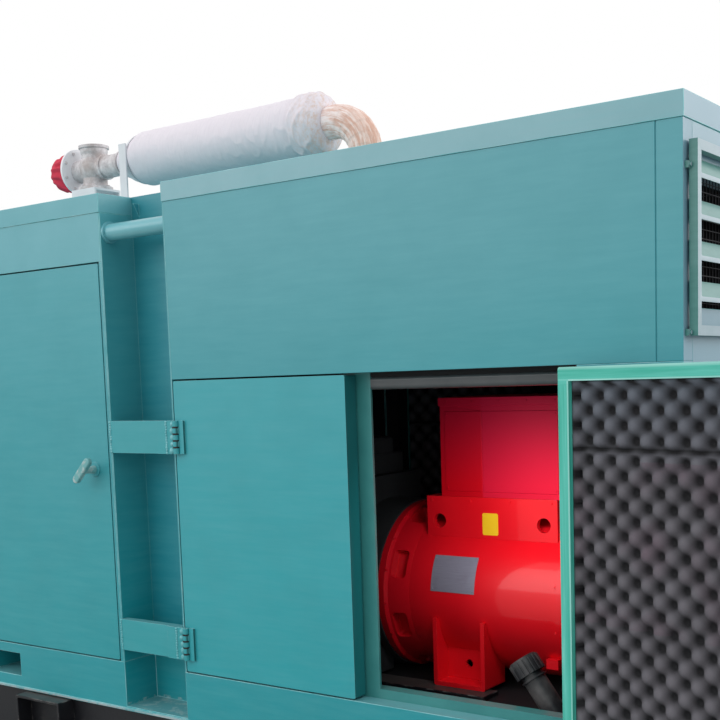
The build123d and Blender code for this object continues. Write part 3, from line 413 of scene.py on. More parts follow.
weld_tree = carve("weld_bead", {"lump": "NodeSocketFloat"}, bead_build)
arm_low, arm_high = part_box("hinge_arms")
arm_height = 0.107
arm_feet = (arm_low[2], arm_high[2] - arm_height)
y_corner_weld, y_strap_weld, y_knuckle_weld, y_barrel = 0.6805, 0.689, 0.6885, 0.687
strap_reach, knuckle_reach = 0.040, 0.013
bead_pitch = 0.008
knuckle_radius = 0.010
knuckle_pitch = arm_height / 5


def hinge_of(leaf):
    """A point on the axis of a leaf's hinge, and its range in degrees."""
    joints = frame["record"]["behaviour"]["joints"]
    joint = next(entry for entry in joints if entry["name"] == leaf + "_hinge")
    return Vector(joint["pos_m"]), joint["range_deg"]


def bead_column(x, y, foot, pitch):
    """Places of the lumps in one upright bead, a little off line."""
    count = round(arm_height / pitch)
    return [Vector((x + 0.3 * pitch * noise.noise(Vector((x * 50, y * 50, i * 1.7 + foot))), y,
                    foot + (i + 0.5) * arm_height / count)) for i in range(count)]


small_lumps, knuckle_lumps = [], []
barrel = hinge_of("middle_door_front")[0]
for side in (-1, 1):
    for foot in arm_feet:
        small_lumps += bead_column(arm_low[0] + 0.001, side * y_corner_weld, foot, bead_pitch)
        small_lumps += bead_column(barrel.x - strap_reach, side * y_strap_weld, foot, bead_pitch)
        knuckle_lumps += bead_column(barrel.x - knuckle_reach, side * y_knuckle_weld, foot, knuckle_pitch)
weld_teal = finish_of("weld_enamel", sheet_enamel((0.10, 0.46, 0.49), (0.22, 0.56, 0.60), 0.6, False))
for name, points, lump in (("strap_beads", small_lumps, 0.0050), ("barrel_welds", knuckle_lumps, 0.0096)):
    looks = [(0, 1 if point.y > 0 else -1, 0) for point in points]
    grow(name, points, looks, weld_tree, "housing", "canopy_paint", weld_teal, lump=lump)


def rod_build(b, ends):
    """Round rods of one length, one at each point."""
    rod = b.node("GeometryNodeMeshCylinder", {},
                 {"Vertices": ends["sides"], "Radius": ends["rod"], "Depth": ends["length"]})
    return b.node("GeometryNodeInstanceOnPoints", {}, {"Points": ends["Geometry"], "Instance": rod,
                                                      "Rotation": aimed(b)})


def gap_shadow_black(b):
    tone = b.mix(b.noise(b.place(), 200.0, 2.0), (0.004, 0.005, 0.006), (0.012, 0.014, 0.015))
    return {"Base Color": tone, "Roughness": 0.4}


rod_sizes = {"sides": "NodeSocketInt", "rod": "NodeSocketFloat", "length": "NodeSocketFloat"}
rod_tree = carve("round_rods", rod_sizes, rod_build)
# Near-black rings in the gaps between the hinge knuckles are painted shadow.
gap_height, gap_stand = 0.0056, 0.0006
barrel_gaps = [(barrel.x, side * y_barrel, foot + i * knuckle_pitch)
               for side in (-1, 1) for foot in arm_feet for i in range(1, 5)]
grow("barrel_gaps", barrel_gaps, [(0, 0, 1)] * len(barrel_gaps), rod_tree, "housing", "grey_metal",
     finish_of("gap_shadow_black", gap_shadow_black), sides=20, rod=knuckle_radius + gap_stand, length=gap_height)
back_low, back_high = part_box("recess_backs")
y_seam, seam_radius, seam_short = 0.5305, 0.0042, 0.04
seams = [(x_corner_in + 0.002, side * y_seam, (back_low[2] + back_high[2]) / 2) for side in (-1, 1)]
grow("recess_seams", seams, [(0, 0, 1)] * 2, rod_tree, "housing", "canopy_paint", weld_teal,
     sides=10, rod=seam_radius, length=back_high[2] - back_low[2] - seam_short)

# Door leaves, stops and handles
# Folded trays that close on flat-bar stops with a round-edged tube across the head. The open leaf
# shows its mint inner frame, with painted highlights along its rims and painted shade in the pocket
# that holds the foam.

leaf_teal = finish_of("leaf_enamel", sheet_enamel((0.010, 0.315, 0.355), (0.064, 0.345, 0.395), 0.22, False))
for node in ("engine_door_front", "engine_door_rear", "alternator_door_rear"):
    dress(node, leaf_teal, teal_highlight_edge, 0.0016)


def middle_leaf_dirt_and_shade(b):
    """The leaf's enamel, darker on the edge that faces the next leaf: old dirt, and painted shade from the
    open leaf.
    """
    looks = sheet_enamel((0.012, 0.350, 0.395), (0.058, 0.375, 0.425), 0.22, False)(b)
    looks["Base Color"] = b.mix(b.facing("X").above(0.6, 0.8), looks["Base Color"], (0.008, 0.150, 0.160))
    return looks


middle_teal = finish_of("middle_leaf_dirt_and_shade", middle_leaf_dirt_and_shade)
for node in ("middle_door_front", "middle_door_rear"):
    dress(node, middle_teal, teal_highlight_edge, 0.0016)

hinge, swing = hinge_of("alternator_door_front")
open_turn = math.radians(-swing[0])
leaf_turn = Matrix.Translation(hinge) @ Matrix.Rotation(open_turn, 4, "Z") @ Matrix.Translation(-hinge)
leaf_way = Matrix.Rotation(open_turn, 3, "Z") @ Vector((-1.0, 0.0, 0.0))
leaf_in = Matrix.Rotation(open_turn, 3, "Z") @ Vector((0.0, 1.0, 0.0))
pad_low, pad_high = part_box("alternator_lining_rear")
pad_near, pad_far = hinge.x - pad_high[0], hinge.x - pad_low[0]
pocket_floor = abs(hinge.y) - pad_high[1]
z_rail, z_rim = (1.325, 1.335), (1.366, 1.372)


def inner_frame_enamel(b):
    """Mint enamel in long brush runs, with painted highlights along its rims, painted shade in the pocket
    that holds the foam, and teal outside with a painted sheen towards the top.
    """
    spot = b.place()
    x, y, z = (b.axis(spot, letter) for letter in "XYZ")
    across = (x - hinge.x) * leaf_way.x + (y - hinge.y) * leaf_way.y
    depth = (x - hinge.x) * leaf_in.x + (y - hinge.y) * leaf_in.y
    outside = depth.math("LESS_THAN", pocket_floor - 0.0035)
    beside = z.within(pad_low[2], pad_high[2])
    # The pocket that holds the foam is painted near black as painted shade.
    pocket_shade = across.within(pad_near, pad_far) * beside * depth.math("GREATER_THAN", pocket_floor - 0.002)
    head = z.above(*z_rail)
    upright_runs = b.noise(b.place((40.0, 40.0, 1.4)), 2.0, 4.0, 0.6)
    level_runs = b.noise(b.place((1.4, 1.4, 40.0)), 2.0, 4.0, 0.6)
    runs = upright_runs * (1 - head) + level_runs * head
    tone = b.mix(runs.above(0.35, 0.65), (0.035, 0.46, 0.35), (0.110, 0.60, 0.50))
    tone = b.mix(runs.above(0.60, 0.74) * 0.7, tone, (0.40, 0.78, 0.70))
    # Pale lines along the rim and the inner edges are painted highlights.
    highlight_share = z.above(*z_rim) + across.within(pad_near - 0.005, pad_near - 0.0004) * beside
    highlight_share = highlight_share + z.within(pad_high[2], pad_high[2] + 0.004) * across.math("GREATER_THAN", pad_near)
    tone = b.mix(highlight_share.above(0.0, 1.0) * (runs * 0.4 + 0.35), tone, (0.46, 0.82, 0.76))
    # The teal outside grows paler upwards as a painted sheen.
    teal_side = b.mix(z.above(z_sill, 1.4), (0.010, 0.315, 0.355), (0.050, 0.340, 0.390))
    tone = b.mix(outside, tone, teal_side)
    return {
        "Base Color": b.mix(pocket_shade, tone, (0.008, 0.009, 0.011)),
        "Roughness": 0.26 + runs * 0.15,
        "Coat Weight": 0.4,
        "Coat Roughness": 0.12,
        "Normal": b.relief(runs, 0.0010, 0.5),
    }


def mint_edge_enamel(b):
    # The paler mint on the rounded edges is a painted highlight.
    highlight_share = b.noise(b.place((3.0, 3.0, 1.0)), 9.0, 3.0, 0.6).above(0.3, 0.7)
    return {"Base Color": b.mix(highlight_share, (0.16, 0.62, 0.52), (0.55, 0.86, 0.80)), "Roughness": 0.22}


mint = finish_of("mint_enamel", inner_frame_enamel)
mint_highlight_edge = finish_of("mint_highlight_edge", mint_edge_enamel)
dress("alternator_door_front", mint, mint_highlight_edge, 0.0036)

tube_low, tube_high = 1.329, 1.3685
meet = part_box("middle_door_front")[1][0]
flat_half = 0.0485


def stop_enamel(b):
    """Teal flats with a grey primed tube across the head."""
    spot = b.place()
    x = b.axis(spot, "X")
    tube = b.axis(spot, "Z").within(tube_low, tube_high) * (1 - x.within(meet - flat_half, meet + flat_half))
    tube = tube * x.math("LESS_THAN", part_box("right_door_stops")[1][0] - flat_half)
    cloud = b.noise(spot, 12.0, 4.0)
    grey = b.mix(cloud, (0.045, 0.055, 0.058), (0.10, 0.11, 0.115))
    flat = b.mix(cloud, (0.028, 0.20, 0.20), (0.06, 0.30, 0.29))
    inward = (b.facing("Y") * b.axis(spot, "Y").math("SIGN")).math("LESS_THAN", -0.5)
    flat = b.mix(inward, flat, (0.010, 0.014, 0.015))
    return {"Base Color": b.mix(tube, flat, grey), "Roughness": 0.36, "Coat Weight": 0.3,
            "Normal": b.relief(b.noise(spot, 80.0, 3.0), 0.0005, 0.5)}


stop_finish = finish_of("stop_enamel", stop_enamel)
for node in ("right_door_stops", "left_door_stops"):
    dress(node, stop_finish, None, 0.0012)


def cast_handle(b):
    spot = b.place()
    rubbed = b.noise(spot, 34.0, 5.0, 0.65).above(0.48, 0.60)
    return {
        "Base Color": b.mix(rubbed, (0.16, 0.42, 0.43), (0.46, 0.58, 0.57)),
        "Roughness": 0.28 + rubbed * 0.18,
        "Metallic": rubbed * 0.35,
        "Normal": b.relief(b.noise(spot, 140.0, 3.0), 0.0005),
    }


handle_metal = finish_of("rubbed_handle", cast_handle)
for leaf in ("alternator", "engine"):
    for side in ("front", "rear"):
        dress(leaf + "_handle_" + side, handle_metal)

# Door linings
# Charcoal egg-crate foam, cut to the tray and glued in, with one glued joint across each leaf. Its
# peaks stand in staggered rows. The peaks are painted paler, partly with dust and partly as painted
# light, and the hollows are painted near black as painted shade.

foam_pitch, foam_row = 0.071, 0.072
foam_peak, foam_hollow = 0.0385, 0.0100
foam_cell, foam_rim = 0.0056, 0.94 * foam_peak
joint_drop, joint_half = 0.165, 0.006


def foam_black(b):
    spot = b.place()
    crest = b.stored("crest")
    pores = b.noise(spot, 420.0, 3.0, 0.7)
    patch = b.noise(spot, 5.0, 3.0)
    z = b.axis(spot, "Z")
    lit = b.mix(z.above(1.10, 1.33), (0.146, 0.137, 0.156), (0.134, 0.152, 0.186))
    # The hollows are painted near black and the crests paler: painted shade and light across the bumps, with
    # some dust on the crests. The bluer crests up high are painted skylight.
    tone = b.mix(crest.above(0.22, 0.98), (0.005, 0.005, 0.007), lit)
    purple = patch.above(0.50, 0.70) * z.within(0.75, 1.15) * crest
    return {
        "Base Color": b.mix(purple * 0.7, tone, (0.130, 0.078, 0.105)),
        "Roughness": 0.72 + pores * 0.2,
        "Normal": b.relief(pores, 0.0012, 0.6),
    }


foam = finish_of("charcoal_foam", foam_black)


def foam_level(across, up, drop):
    """How far the foam stands out of its tray, and its share from hollow to peak."""
    row_shift = foam_row / 3 if up > joint_drop else 0.0
    turn = math.tau * across / foam_pitch
    rise = math.tau * (up + row_shift) / foam_row
    swell = 0.5 + 0.5 * math.cos(turn) * math.cos(rise)
    crest = swell ** 0.8 * (1.0 - 0.10 * math.cos(2 * turn) * math.cos(2 * rise))
    groove = math.exp(-((up - joint_drop) / joint_half) ** 2)
    slack = 0.10 * noise.noise(Vector((across * 9.0, up * 9.0, drop)))
    share = min(1.0, max(0.0, crest + slack)) * (1.0 - 0.7 * groove)
    return foam_hollow + share * (foam_peak - foam_hollow), share


def finished_mesh(name, made):
    """A mesh of the faces that were made, each turned to look outwards."""
    bmesh.ops.recalc_face_normals(made, faces=made.faces)
    mesh = bpy.data.meshes.new(name)
    made.to_mesh(mesh)
    made.free()
    return mesh


def foam_pad(node, body, low, high, turn=None):
    """A closed pad in the box that its tray leaves, turned with the leaf where that stands open."""
    side = 1.0 if low[1] < 0 else -1.0
    back = low[1] if side > 0 else high[1]
    columns = int((high[0] - low[0]) / foam_cell)
    rows = int((high[2] - low[2]) / foam_cell)
    made = bmesh.new()
    crest_layer = made.verts.layers.float.new("crest")
    grid = []
    for r in range(rows + 1):
        line = []
        for c in range(columns + 1):
            across = (high[0] - low[0]) * c / columns
            up = (high[2] - low[2]) * r / rows
            level, share = foam_level(across, high[2] - low[2] - up, low[0])
            if c < 2 or c > columns - 2 or r < 2 or r > rows - 2:
                level = max(level, foam_rim)
            vert = made.verts.new((low[0] + across, back + side * level, low[2] + up))
            vert[crest_layer] = share
            line.append(vert)
        grid.append(line)
    for r in range(rows):
        for c in range(columns):
            made.faces.new((grid[r][c], grid[r][c + 1], grid[r + 1][c + 1], grid[r + 1][c]))
    rim = [edge for edge in made.edges if edge.is_boundary]
    skirt = bmesh.ops.extrude_edge_only(made, edges=rim)["geom"]
    for vert in (part for part in skirt if isinstance(part, bmesh.types.BMVert)):
        vert.co.y = back
    bmesh.ops.holes_fill(made, edges=[edge for edge in made.edges if edge.is_boundary], sides=0)
    for face in made.faces:
        face.smooth = len(face.verts) == 4 and face.calc_area() < 4 * foam_cell ** 2
    if turn is not None:
        made.transform(turn)
    pad = piece(node + "_foam", finished_mesh(node + "_foam", made), body, "foam", foam)
    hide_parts(node)


for leaf in ("middle", "engine", "alternator"):
    rear_low, rear_high = (Vector(corner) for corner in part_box(leaf + "_lining_rear"))
    foam_pad(leaf + "_lining_rear", leaf + "_door_rear", rear_low, rear_high)
    front_low = Vector((rear_low[0], -rear_high[1], rear_low[2]))
    front_high = Vector((rear_high[0], -rear_low[1], rear_high[2]))
    foam_pad(leaf + "_lining_front", leaf + "_door_front", front_low, front_high,
             leaf_turn if leaf == "alternator" else None)

# Inlet louvre and its guard
# A folded channel frame with four pressed blades, screwed off the end wall on tabs, over a guard
# of galvanised wire. The faces of its frame and blade lips that look out from the end are paler
# grey green than the rest.

border_half, z_border_low, z_border_high = 0.625, 1.466, 1.858
z_blade_lip, blade_pitch, lip_share = 1.803, 0.095, 0.12


def louvre_enamel(b):
    spot = b.place()
    streak = b.noise(b.place((3.0, 3.0, 12.0)), 5.0, 4.0, 0.6)
    z = b.axis(spot, "Z")
    edge = b.axis(spot, "Y").math("ABSOLUTE").math("GREATER_THAN", border_half)
    edge = edge + z.math("GREATER_THAN", z_border_high) + z.math("LESS_THAN", z_border_low)
    edge = edge.above(0.2, 0.8)
    lip = ((z - z_blade_lip) * (1 / blade_pitch)).math("FRACT").math("LESS_THAN", lip_share)
    pale = b.facing("X").math("ABSOLUTE").above(0.90, 0.97) * (edge + lip).above(0.2, 0.8)
    tone = b.mix(streak, (0.035, 0.19, 0.17), (0.085, 0.28, 0.255))
    front = b.mix(streak, (0.24, 0.36, 0.40), (0.36, 0.45, 0.50))
    return {
        "Base Color": b.mix(pale, tone, front),
        "Roughness": 0.40,
        "Coat Weight": 0.2,
        "Normal": b.relief(b.noise(spot, 120.0, 3.0), 0.0005, 0.5),
    }


louvre_finish = finish_of("louvre_enamel", louvre_enamel)
dress("inlet_louvre", louvre_finish)
dress("discharge_grille", louvre_finish, teal_highlight_edge, 0.001)


def galvanised(b):
    spangle = b.noise(b.place(), 60.0, 4.0, 0.7)
    return {"Base Color": b.mix(spangle, (0.018, 0.018, 0.022), (0.045, 0.045, 0.052)), "Roughness": 0.55,
            "Metallic": 0.3}


guard_metal = finish_of("dull_galvanised", galvanised)
wire_radius, mesh_pitch = 0.0011, 0.022
guard_width, guard_inset, guard_depth = 1.17, 0.07, 0.012


def wire_guard(name, x, width, z0, z1, pitch):
    """Upright and level wires that cross in one plane."""
    height = z1 - z0
    uprights, levels = int(width / pitch), int(height / pitch)
    up_points = [(x, (i + 0.5) * width / uprights - width / 2, (z0 + z1) / 2) for i in range(uprights)]
    level_points = [(x, 0, z0 + (i + 0.5) * height / levels) for i in range(levels)]
    for kind, points, look, length in (("_uprights", up_points, (0, 0, 1), height),
                                       ("_levels", level_points, (0, 1, 0), width)):
        grow(name + kind, points, [look] * len(points), rod_tree, "housing", "grey_metal", guard_metal,
             sides=6, rod=wire_radius, length=length)


louvre_low, louvre_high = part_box("inlet_louvre")
wire_guard("inlet_guard", x_end - guard_depth, guard_width, louvre_low[2] + guard_inset,
           louvre_high[2] - guard_inset, mesh_pitch)

# Bolts and screws
# Plated hexagon heads on washers hold the flanges of the alternator, the louvre tabs, the outlet
# flanges and the lifting saddle. They were painted over where they sit on painted work.


def head_build(b, ends):
    """A hexagon head standing on a round washer."""
    joined = b.tree.nodes.new("GeometryNodeJoinGeometry")
    for sides, radius, depth, middle in ((16, "washer", "plate", ends["plate"] * 0.5),
                                         (6, "head", "height", ends["plate"] + ends["height"] * 0.5)):
        disc = b.node("GeometryNodeMeshCylinder", {},
                      {"Vertices": sides, "Radius": ends[radius], "Depth": ends[depth]})
        rise = b.node("ShaderNodeCombineXYZ", {}, {"Z": middle})
        lifted = b.node("GeometryNodeTransform", {}, {"Geometry": disc, "Translation": rise})
        b.tree.links.new(lifted.socket, joined.inputs[0])
    return b.node("GeometryNodeInstanceOnPoints", {}, {"Points": ends["Geometry"], "Rotation": aimed(b),
                                                      "Instance": Wire(b, joined.outputs[0])})


bolt_tree = carve("hexagon_heads", dict.fromkeys(("head", "height", "washer", "plate"), "NodeSocketFloat"),
                  head_build)


def bolts(name, points, looks, slot, finish, size):
    """Hexagon bolts of one thread size, in metres."""
    grow(name, points, looks, bolt_tree, "housing", slot, finish, head=size * 0.95, height=size * 0.65,
         washer=size * 1.15, plate=size * 0.15)


def bolt_ring(centre, radius, count, along, start=0.0):
    """Points of a bolt circle round an X or Z axis."""
    points = []
    for i in range(count):
        angle = start + math.tau * i / count
        a, c = radius * math.cos(angle), radius * math.sin(angle)
        offset = (0, a, c) if along == "X" else (a, c, 0)
        points.append(Vector(centre) + Vector(offset))
    return points


def row(first, last, count):
    """Evenly spaced places from one end of a row to the other."""
    return [first + i * (last - first) / (count - 1) for i in range(count)]


y_tab, tab_stand, tab_rise, tab_drop = 0.659, 0.009, 0.008, 0.058
tab_points = [(x_end + tab_stand, y, z) for y in (-y_tab, y_tab)
              for z in (louvre_low[2] + tab_rise, louvre_high[2] - tab_drop)]
bolts("louvre_screws", tab_points, [(1, 0, 0)] * len(tab_points), "canopy_paint", louvre_finish, 0.006)
grille_low, grille_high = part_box("discharge_grille")
screw_inset, grille_screws = 0.017, 7
grille_points = [(grille_low[0], y, z)
                 for z in row(grille_low[2] + screw_inset, grille_high[2] - screw_inset, grille_screws)
                 for y in (grille_low[1] + screw_inset, grille_high[1] - screw_inset)]
bolts("grille_screws", grille_points, [(-1, 0, 0)] * len(grille_points), "canopy_paint", louvre_finish, 0.007)

# Head seals
# Strips of black sponge rubber on the stop tubes close the slit over the middle and alternator
# leaves against light and sound. They are glued on, and each one ends at the flats.


def sponge_rubber(b):
    pores = b.noise(b.place(), 300.0, 3.0, 0.7)
    return {"Base Color": b.mix(pores, (0.006, 0.006, 0.007), (0.016, 0.016, 0.017)), "Roughness": 0.85,
            "Normal": b.relief(pores, 0.0008, 0.6)}


def join_rings(made, rings, capped=True):
    """Faces from each ring of corners to the next one, and over both ends."""
    for lower, upper in zip(rings, rings[1:]):
        for j in range(len(lower)):
            k = (j + 1) % len(lower)
            made.faces.new((lower[j], lower[k], upper[k], upper[j]))
    if capped:
        made.faces.new(rings[0])
        made.faces.new(rings[-1])


rubber = finish_of("sponge_rubber", sponge_rubber)
seal_front, seal_back, seal_nose = 0.6144, 0.6112, 0.0012
seal_low, seal_high = 1.3665, 1.3925
seal_section = [(seal_front, seal_low), (seal_front, seal_high - seal_nose),
                (seal_front - seal_nose, seal_high), (seal_back + seal_nose, seal_high),
                (seal_back, seal_high - seal_nose), (seal_back, seal_low)]


def head_seal(name, x0, x1, side):
    """A strip with a rounded nose along the top."""
    made = bmesh.new()
    join_rings(made, [[made.verts.new((x, side * y, z)) for y, z in seal_section] for x in (x0, x1)])
    piece(name, finished_mesh(name, made), "housing", "black_plastic", rubber)


middle_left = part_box("middle_door_front")[0][0]
off_jamb, off_flat, off_hinge = 0.045, 0.050, 0.010
for side, end in ((-1, "front"), (1, "rear")):
    head_seal("middle_seal_" + end, middle_left + off_jamb, meet - off_flat, side)
    head_seal("alternator_seal_" + end, meet + off_flat, hinge.x - off_hinge, side)

# Engine and cooling group
# A six-cylinder block in dark grey enamel with a black radiator, shroud and fan, and a rusty iron
# exhaust pipe. They stay in the dark of the canopy and show when the tall doors are open.


def engine_enamel(b):
    spot = b.place()
    soot = b.noise(spot, 8.0, 4.0)
    return {
        "Base Color": b.mix(soot, (0.012, 0.013, 0.015), (0.036, 0.038, 0.041)),
        "Roughness": 0.4 + soot * 0.2,
        "Normal": b.relief(b.noise(spot, 45.0, 3.0), 0.0012, 0.6),
    }


def hot_iron(b):
    spot = b.place()
    rust = b.noise(spot, 18.0, 5.0, 0.65)
    return {
        "Base Color": b.mix(rust.above(0.4, 0.65), (0.05, 0.035, 0.028), (0.15, 0.065, 0.032)),
        "Roughness": 0.75,
        "Normal": b.relief(rust, 0.002, 0.7),
    }


def cooling_black(b):
    spot = b.place()
    fins = (b.axis(spot, "Y") * 1800.0).math("SINE")
    return {
        "Base Color": b.mix(b.noise(spot, 9.0, 3.0), (0.012, 0.012, 0.013), (0.035, 0.034, 0.033)),
        "Roughness": 0.45,
        "Normal": b.relief(fins, 0.0012, 0.5),
    }


def satin_black(b):
    spot = b.place()
    cloud = b.noise(spot, 9.0, 3.0)
    return {"Base Color": b.mix(cloud, (0.014, 0.014, 0.015), (0.035, 0.035, 0.036)), "Roughness": 0.4,
            "Normal": b.relief(b.noise(spot, 90.0, 2.0), 0.0006, 0.5)}


engine_finish = finish_of("engine_grey", engine_enamel)
for node in ("engine_block", "engine_head", "flywheel_housing"):
    dress(node, engine_finish, None, 0.004)
dress("exhaust_downpipe", finish_of("rusty_iron", hot_iron))
dress("radiator", finish_of("radiator_black", cooling_black), None, 0.002)
fan_finish = finish_of("satin_black", satin_black)
for node in ("fan_shroud", "fan"):
    dress(node, fan_finish, None, 0.001)

# Alternator
# A cast and welded machine in glossy red enamel: bell, stator frame, feet, lifting saddle with its
# eyes, and the sheet-steel terminal box. The rating plate is riveted on and left bare.


def red_enamel(b):
    spot = b.place()
    cloud = b.noise(spot, 5.0, 3.0)
    shade = b.noise(spot, 1.6, 2.0)
    tone = b.mix(cloud, (0.76, 0.003, 0.010), (0.88, 0.010, 0.020))
    # Darker towards the engine end: mostly painted shade, with some dust.
    engine_end_shade_and_dust = 1 - b.axis(spot, "X").above(0.62, 0.82)
    tone = b.mix(engine_end_shade_and_dust * 0.55, tone, (0.38, 0.003, 0.014))
    return {
        "Base Color": b.mix(shade.above(0.45, 0.75) * 0.3, tone, (0.62, 0.004, 0.008)),
        "Roughness": 0.30 + cloud * 0.06,
        "Specular IOR Level": 0.3,
        "Coat Weight": 0.45,
        "Coat Roughness": 0.06,
        "Normal": b.relief(b.noise(spot, 70.0, 2.0), 0.0005, 0.35),
    }


def red_sheet(b):
    """Flatter enamel on the thin sheet of the box, with a painted pink reflection on the larger cover and a
    painted shadow of the door head over its top.
    """
    spot = b.place()
    cover_sheen = b.axis(spot, "X").above(0.953, 0.956)
    # The darkening towards the top of the box is a painted shadow of the door head.
    height = b.axis(spot, "Z").above(1.02, 1.27)
    tone = b.mix(cover_sheen, (0.62, 0.002, 0.010), (0.66, 0.008, 0.034))
    return {
        "Base Color": b.mix(height * 0.7, tone, (0.22, 0.006, 0.030)),
        "Roughness": 0.50,
        "Specular IOR Level": 0.15,
        "Coat Weight": 0.1,
        "Coat Roughness": 0.3,
        "Normal": b.relief(b.noise(spot, 2.2, 2.0), 0.010, 0.3),
    }


def red_highlight_edge(b):
    # The paler red on the rounded edges is a painted highlight.
    thin = b.noise(b.place(), 30.0, 4.0, 0.65).above(0.5, 0.8)
    return {"Base Color": b.mix(thin, (0.80, 0.010, 0.012), (0.88, 0.06, 0.06)), "Roughness": 0.24}


red = finish_of("red_enamel", red_enamel)
red_bright = finish_of("red_highlight_edge", red_highlight_edge)
for node in ("alternator_adaptor", "alternator_frame", "alternator_feet", "lifting_saddle"):
    dress(node, red, red_bright, 0.0022)
box_red = finish_of("red_sheet", red_sheet)
dress("terminal_box", box_red, None, 0.002)

frame_low, frame_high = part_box("alternator_frame")
shaft = ((frame_low[1] + frame_high[1]) / 2, (frame_low[2] + frame_high[2]) / 2)
bell_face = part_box("alternator_adaptor")[0][0] + 0.024
flange_face = frame_low[0] + 0.528
bell_circle, flange_circle = 0.2795, 0.269
bell_ring = bolt_ring((bell_face, *shaft), bell_circle, 16, "X", 0.1)
bolts("bell_bolts", bell_ring, [(1, 0, 0)] * 16, "alternator_paint", red, 0.0062)
flange_ring = bolt_ring((flange_face, *shaft), flange_circle, 12, "X", 0.26)
bolts("flange_bolts", flange_ring, [(-1, 0, 0)] * 12, "alternator_paint", red, 0.0062)


def rows_on_sides(name, x0, x1, count, y, z, finish, size):
    """A level row of bolts on the front of the machine and another on its rear."""
    points = [(x, side * y, z) for side in (-1, 1) for x in row(x0, x1, count)]
    looks = [(0, side, 0) for side in (-1, 1) for _ in range(count)]
    bolts(name, points, looks, "alternator_paint", finish, size)


box_low, box_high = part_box("terminal_box")
y_lid, y_cover, y_saddle = 0.184, 0.183, 0.18
box_inset, saddle_inset = 0.03, 0.02
lid_drop, saddle_drop = 0.013, 0.012
cover_rise, cover_drop = 0.028, 0.054
rows_on_sides("lid_screws", box_low[0] + box_inset, box_high[0] - box_inset, 5, y_lid,
              box_high[2] - lid_drop, box_red, 0.0032)
cover_points = [(x, side * y_cover, z) for side in (-1, 1)
                for x in (box_low[0] + box_inset, box_high[0] - box_inset)
                for z in (box_low[2] + cover_rise, box_high[2] - cover_drop)]
cover_looks = [(0, -1, 0)] * 4 + [(0, 1, 0)] * 4
bolts("cover_screws", cover_points, cover_looks, "alternator_paint", box_red, 0.0034)

saddle_low, saddle_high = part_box("lifting_saddle")
rows_on_sides("saddle_bolts", saddle_low[0] + saddle_inset, saddle_high[0] - saddle_inset, 4, y_saddle,
              saddle_high[2] - saddle_drop, red, 0.0042)


def bare_aluminium(b):
    spot = b.place()
    rolled = b.noise(b.place((2.0, 60.0, 60.0)), 12.0, 3.0)
    stains = b.noise(spot, 24.0, 4.0).above(0.52, 0.72)
    tone = b.mix(rolled, (0.25, 0.24, 0.32), (0.43, 0.41, 0.51))
    return {"Base Color": b.mix(stains * 0.35, tone, (0.24, 0.21, 0.27)), "Roughness": 0.40, "Metallic": 0.35}


def plain_yellow(b):
    faded = b.noise(b.place(), 30.0, 3.0)
    return {"Base Color": b.mix(faded, (0.90, 0.50, 0.01), (0.96, 0.62, 0.02)), "Roughness": 0.4}


plate_finish = finish_of("bare_aluminium", bare_aluminium)
plate_left, plate_right = 0.801, 0.961
plate_low, plate_top = 0.680, 0.791
frame_radius = 0.262
plate_back = frame_radius + 0.0002
plate_gauge = 0.0012


def outward(z):
    """The turn at a height on the front of the round frame, and the way the frame looks there."""
    angle = math.asin((z - shaft[1]) / frame_radius)
    return angle, Vector((0, -math.cos(angle), math.sin(angle)))


def rolled_plate():
    """A thin plate bent to the frame, closed on all sides."""
    made = bmesh.new()
    rings = []
    for angle in row(outward(plate_low)[0], outward(plate_top)[0], 11):
        ring = []
        for x, radius in ((plate_left, plate_back), (plate_right, plate_back),
                          (plate_right, plate_back + plate_gauge), (plate_left, plate_back + plate_gauge)):
            ring.append(made.verts.new((x, -radius * math.cos(angle), shaft[1] + radius * math.sin(angle))))
        rings.append(ring)
    join_rings(made, rings)
    piece("rating_plate", finished_mesh("rating_plate", made), "housing", "grey_metal", plate_finish)


rolled_plate()
rivet_radius, rivet_inset, rivet_rise = 0.0034, 0.007, 0.008
rivet_points, rivet_looks = [], []
for x in (plate_left + rivet_inset, plate_right - rivet_inset):
    for z in (plate_low + rivet_rise, plate_top - rivet_rise):
        look = outward(z)[1]
        rivet_points.append(Vector((x, 0, shaft[1])) + look * (frame_radius + plate_gauge))
        rivet_looks.append(look)


def rivet_build(b, ends):
    dome = b.node("GeometryNodeMeshUVSphere", {}, {"Segments": 12, "Rings": 8, "Radius": ends["rivet"]})
    return b.node("GeometryNodeInstanceOnPoints", {}, {"Points": ends["Geometry"], "Instance": dome,
                                                      "Rotation": aimed(b), "Scale": (1.0, 1.0, 0.6)})


rivet_tree = carve("plate_rivets", {"rivet": "NodeSocketFloat"}, rivet_build)
grow("plate_rivets", rivet_points, rivet_looks, rivet_tree, "housing", "grey_metal", plate_finish,
     rivet=rivet_radius)


def flat_tag(name, x0, x1, z0, z1, y, finish):
    """A small sheet with clipped corners, stuck flat on an upright face."""
    clip, gauge = 0.004, 0.0008
    outline = [(x0 + clip, z0), (x1 - clip, z0), (x1, z0 + clip), (x1, z1 - clip),
               (x1 - clip, z1), (x0 + clip, z1), (x0, z1 - clip), (x0, z0 + clip)]
    made = bmesh.new()
    join_rings(made, [[made.verts.new((x, depth, z)) for x, z in outline] for depth in (y - gauge, y)])
    piece(name, finished_mesh(name, made), "housing", "alternator_paint", finish)


tag_left, tag_right, tag_foot, tag_head = 0.951, 1.007, 0.858, 0.928
flat_tag("yellow_tag", tag_left, tag_right, tag_foot, tag_head, -y_saddle,
         finish_of("plain_yellow", plain_yellow))

# Fuel filler
# A black filler neck with a ribbed plastic cap screwed on it. It is fixed to the deck just inside
# the doorway, and leans away from the end wall.


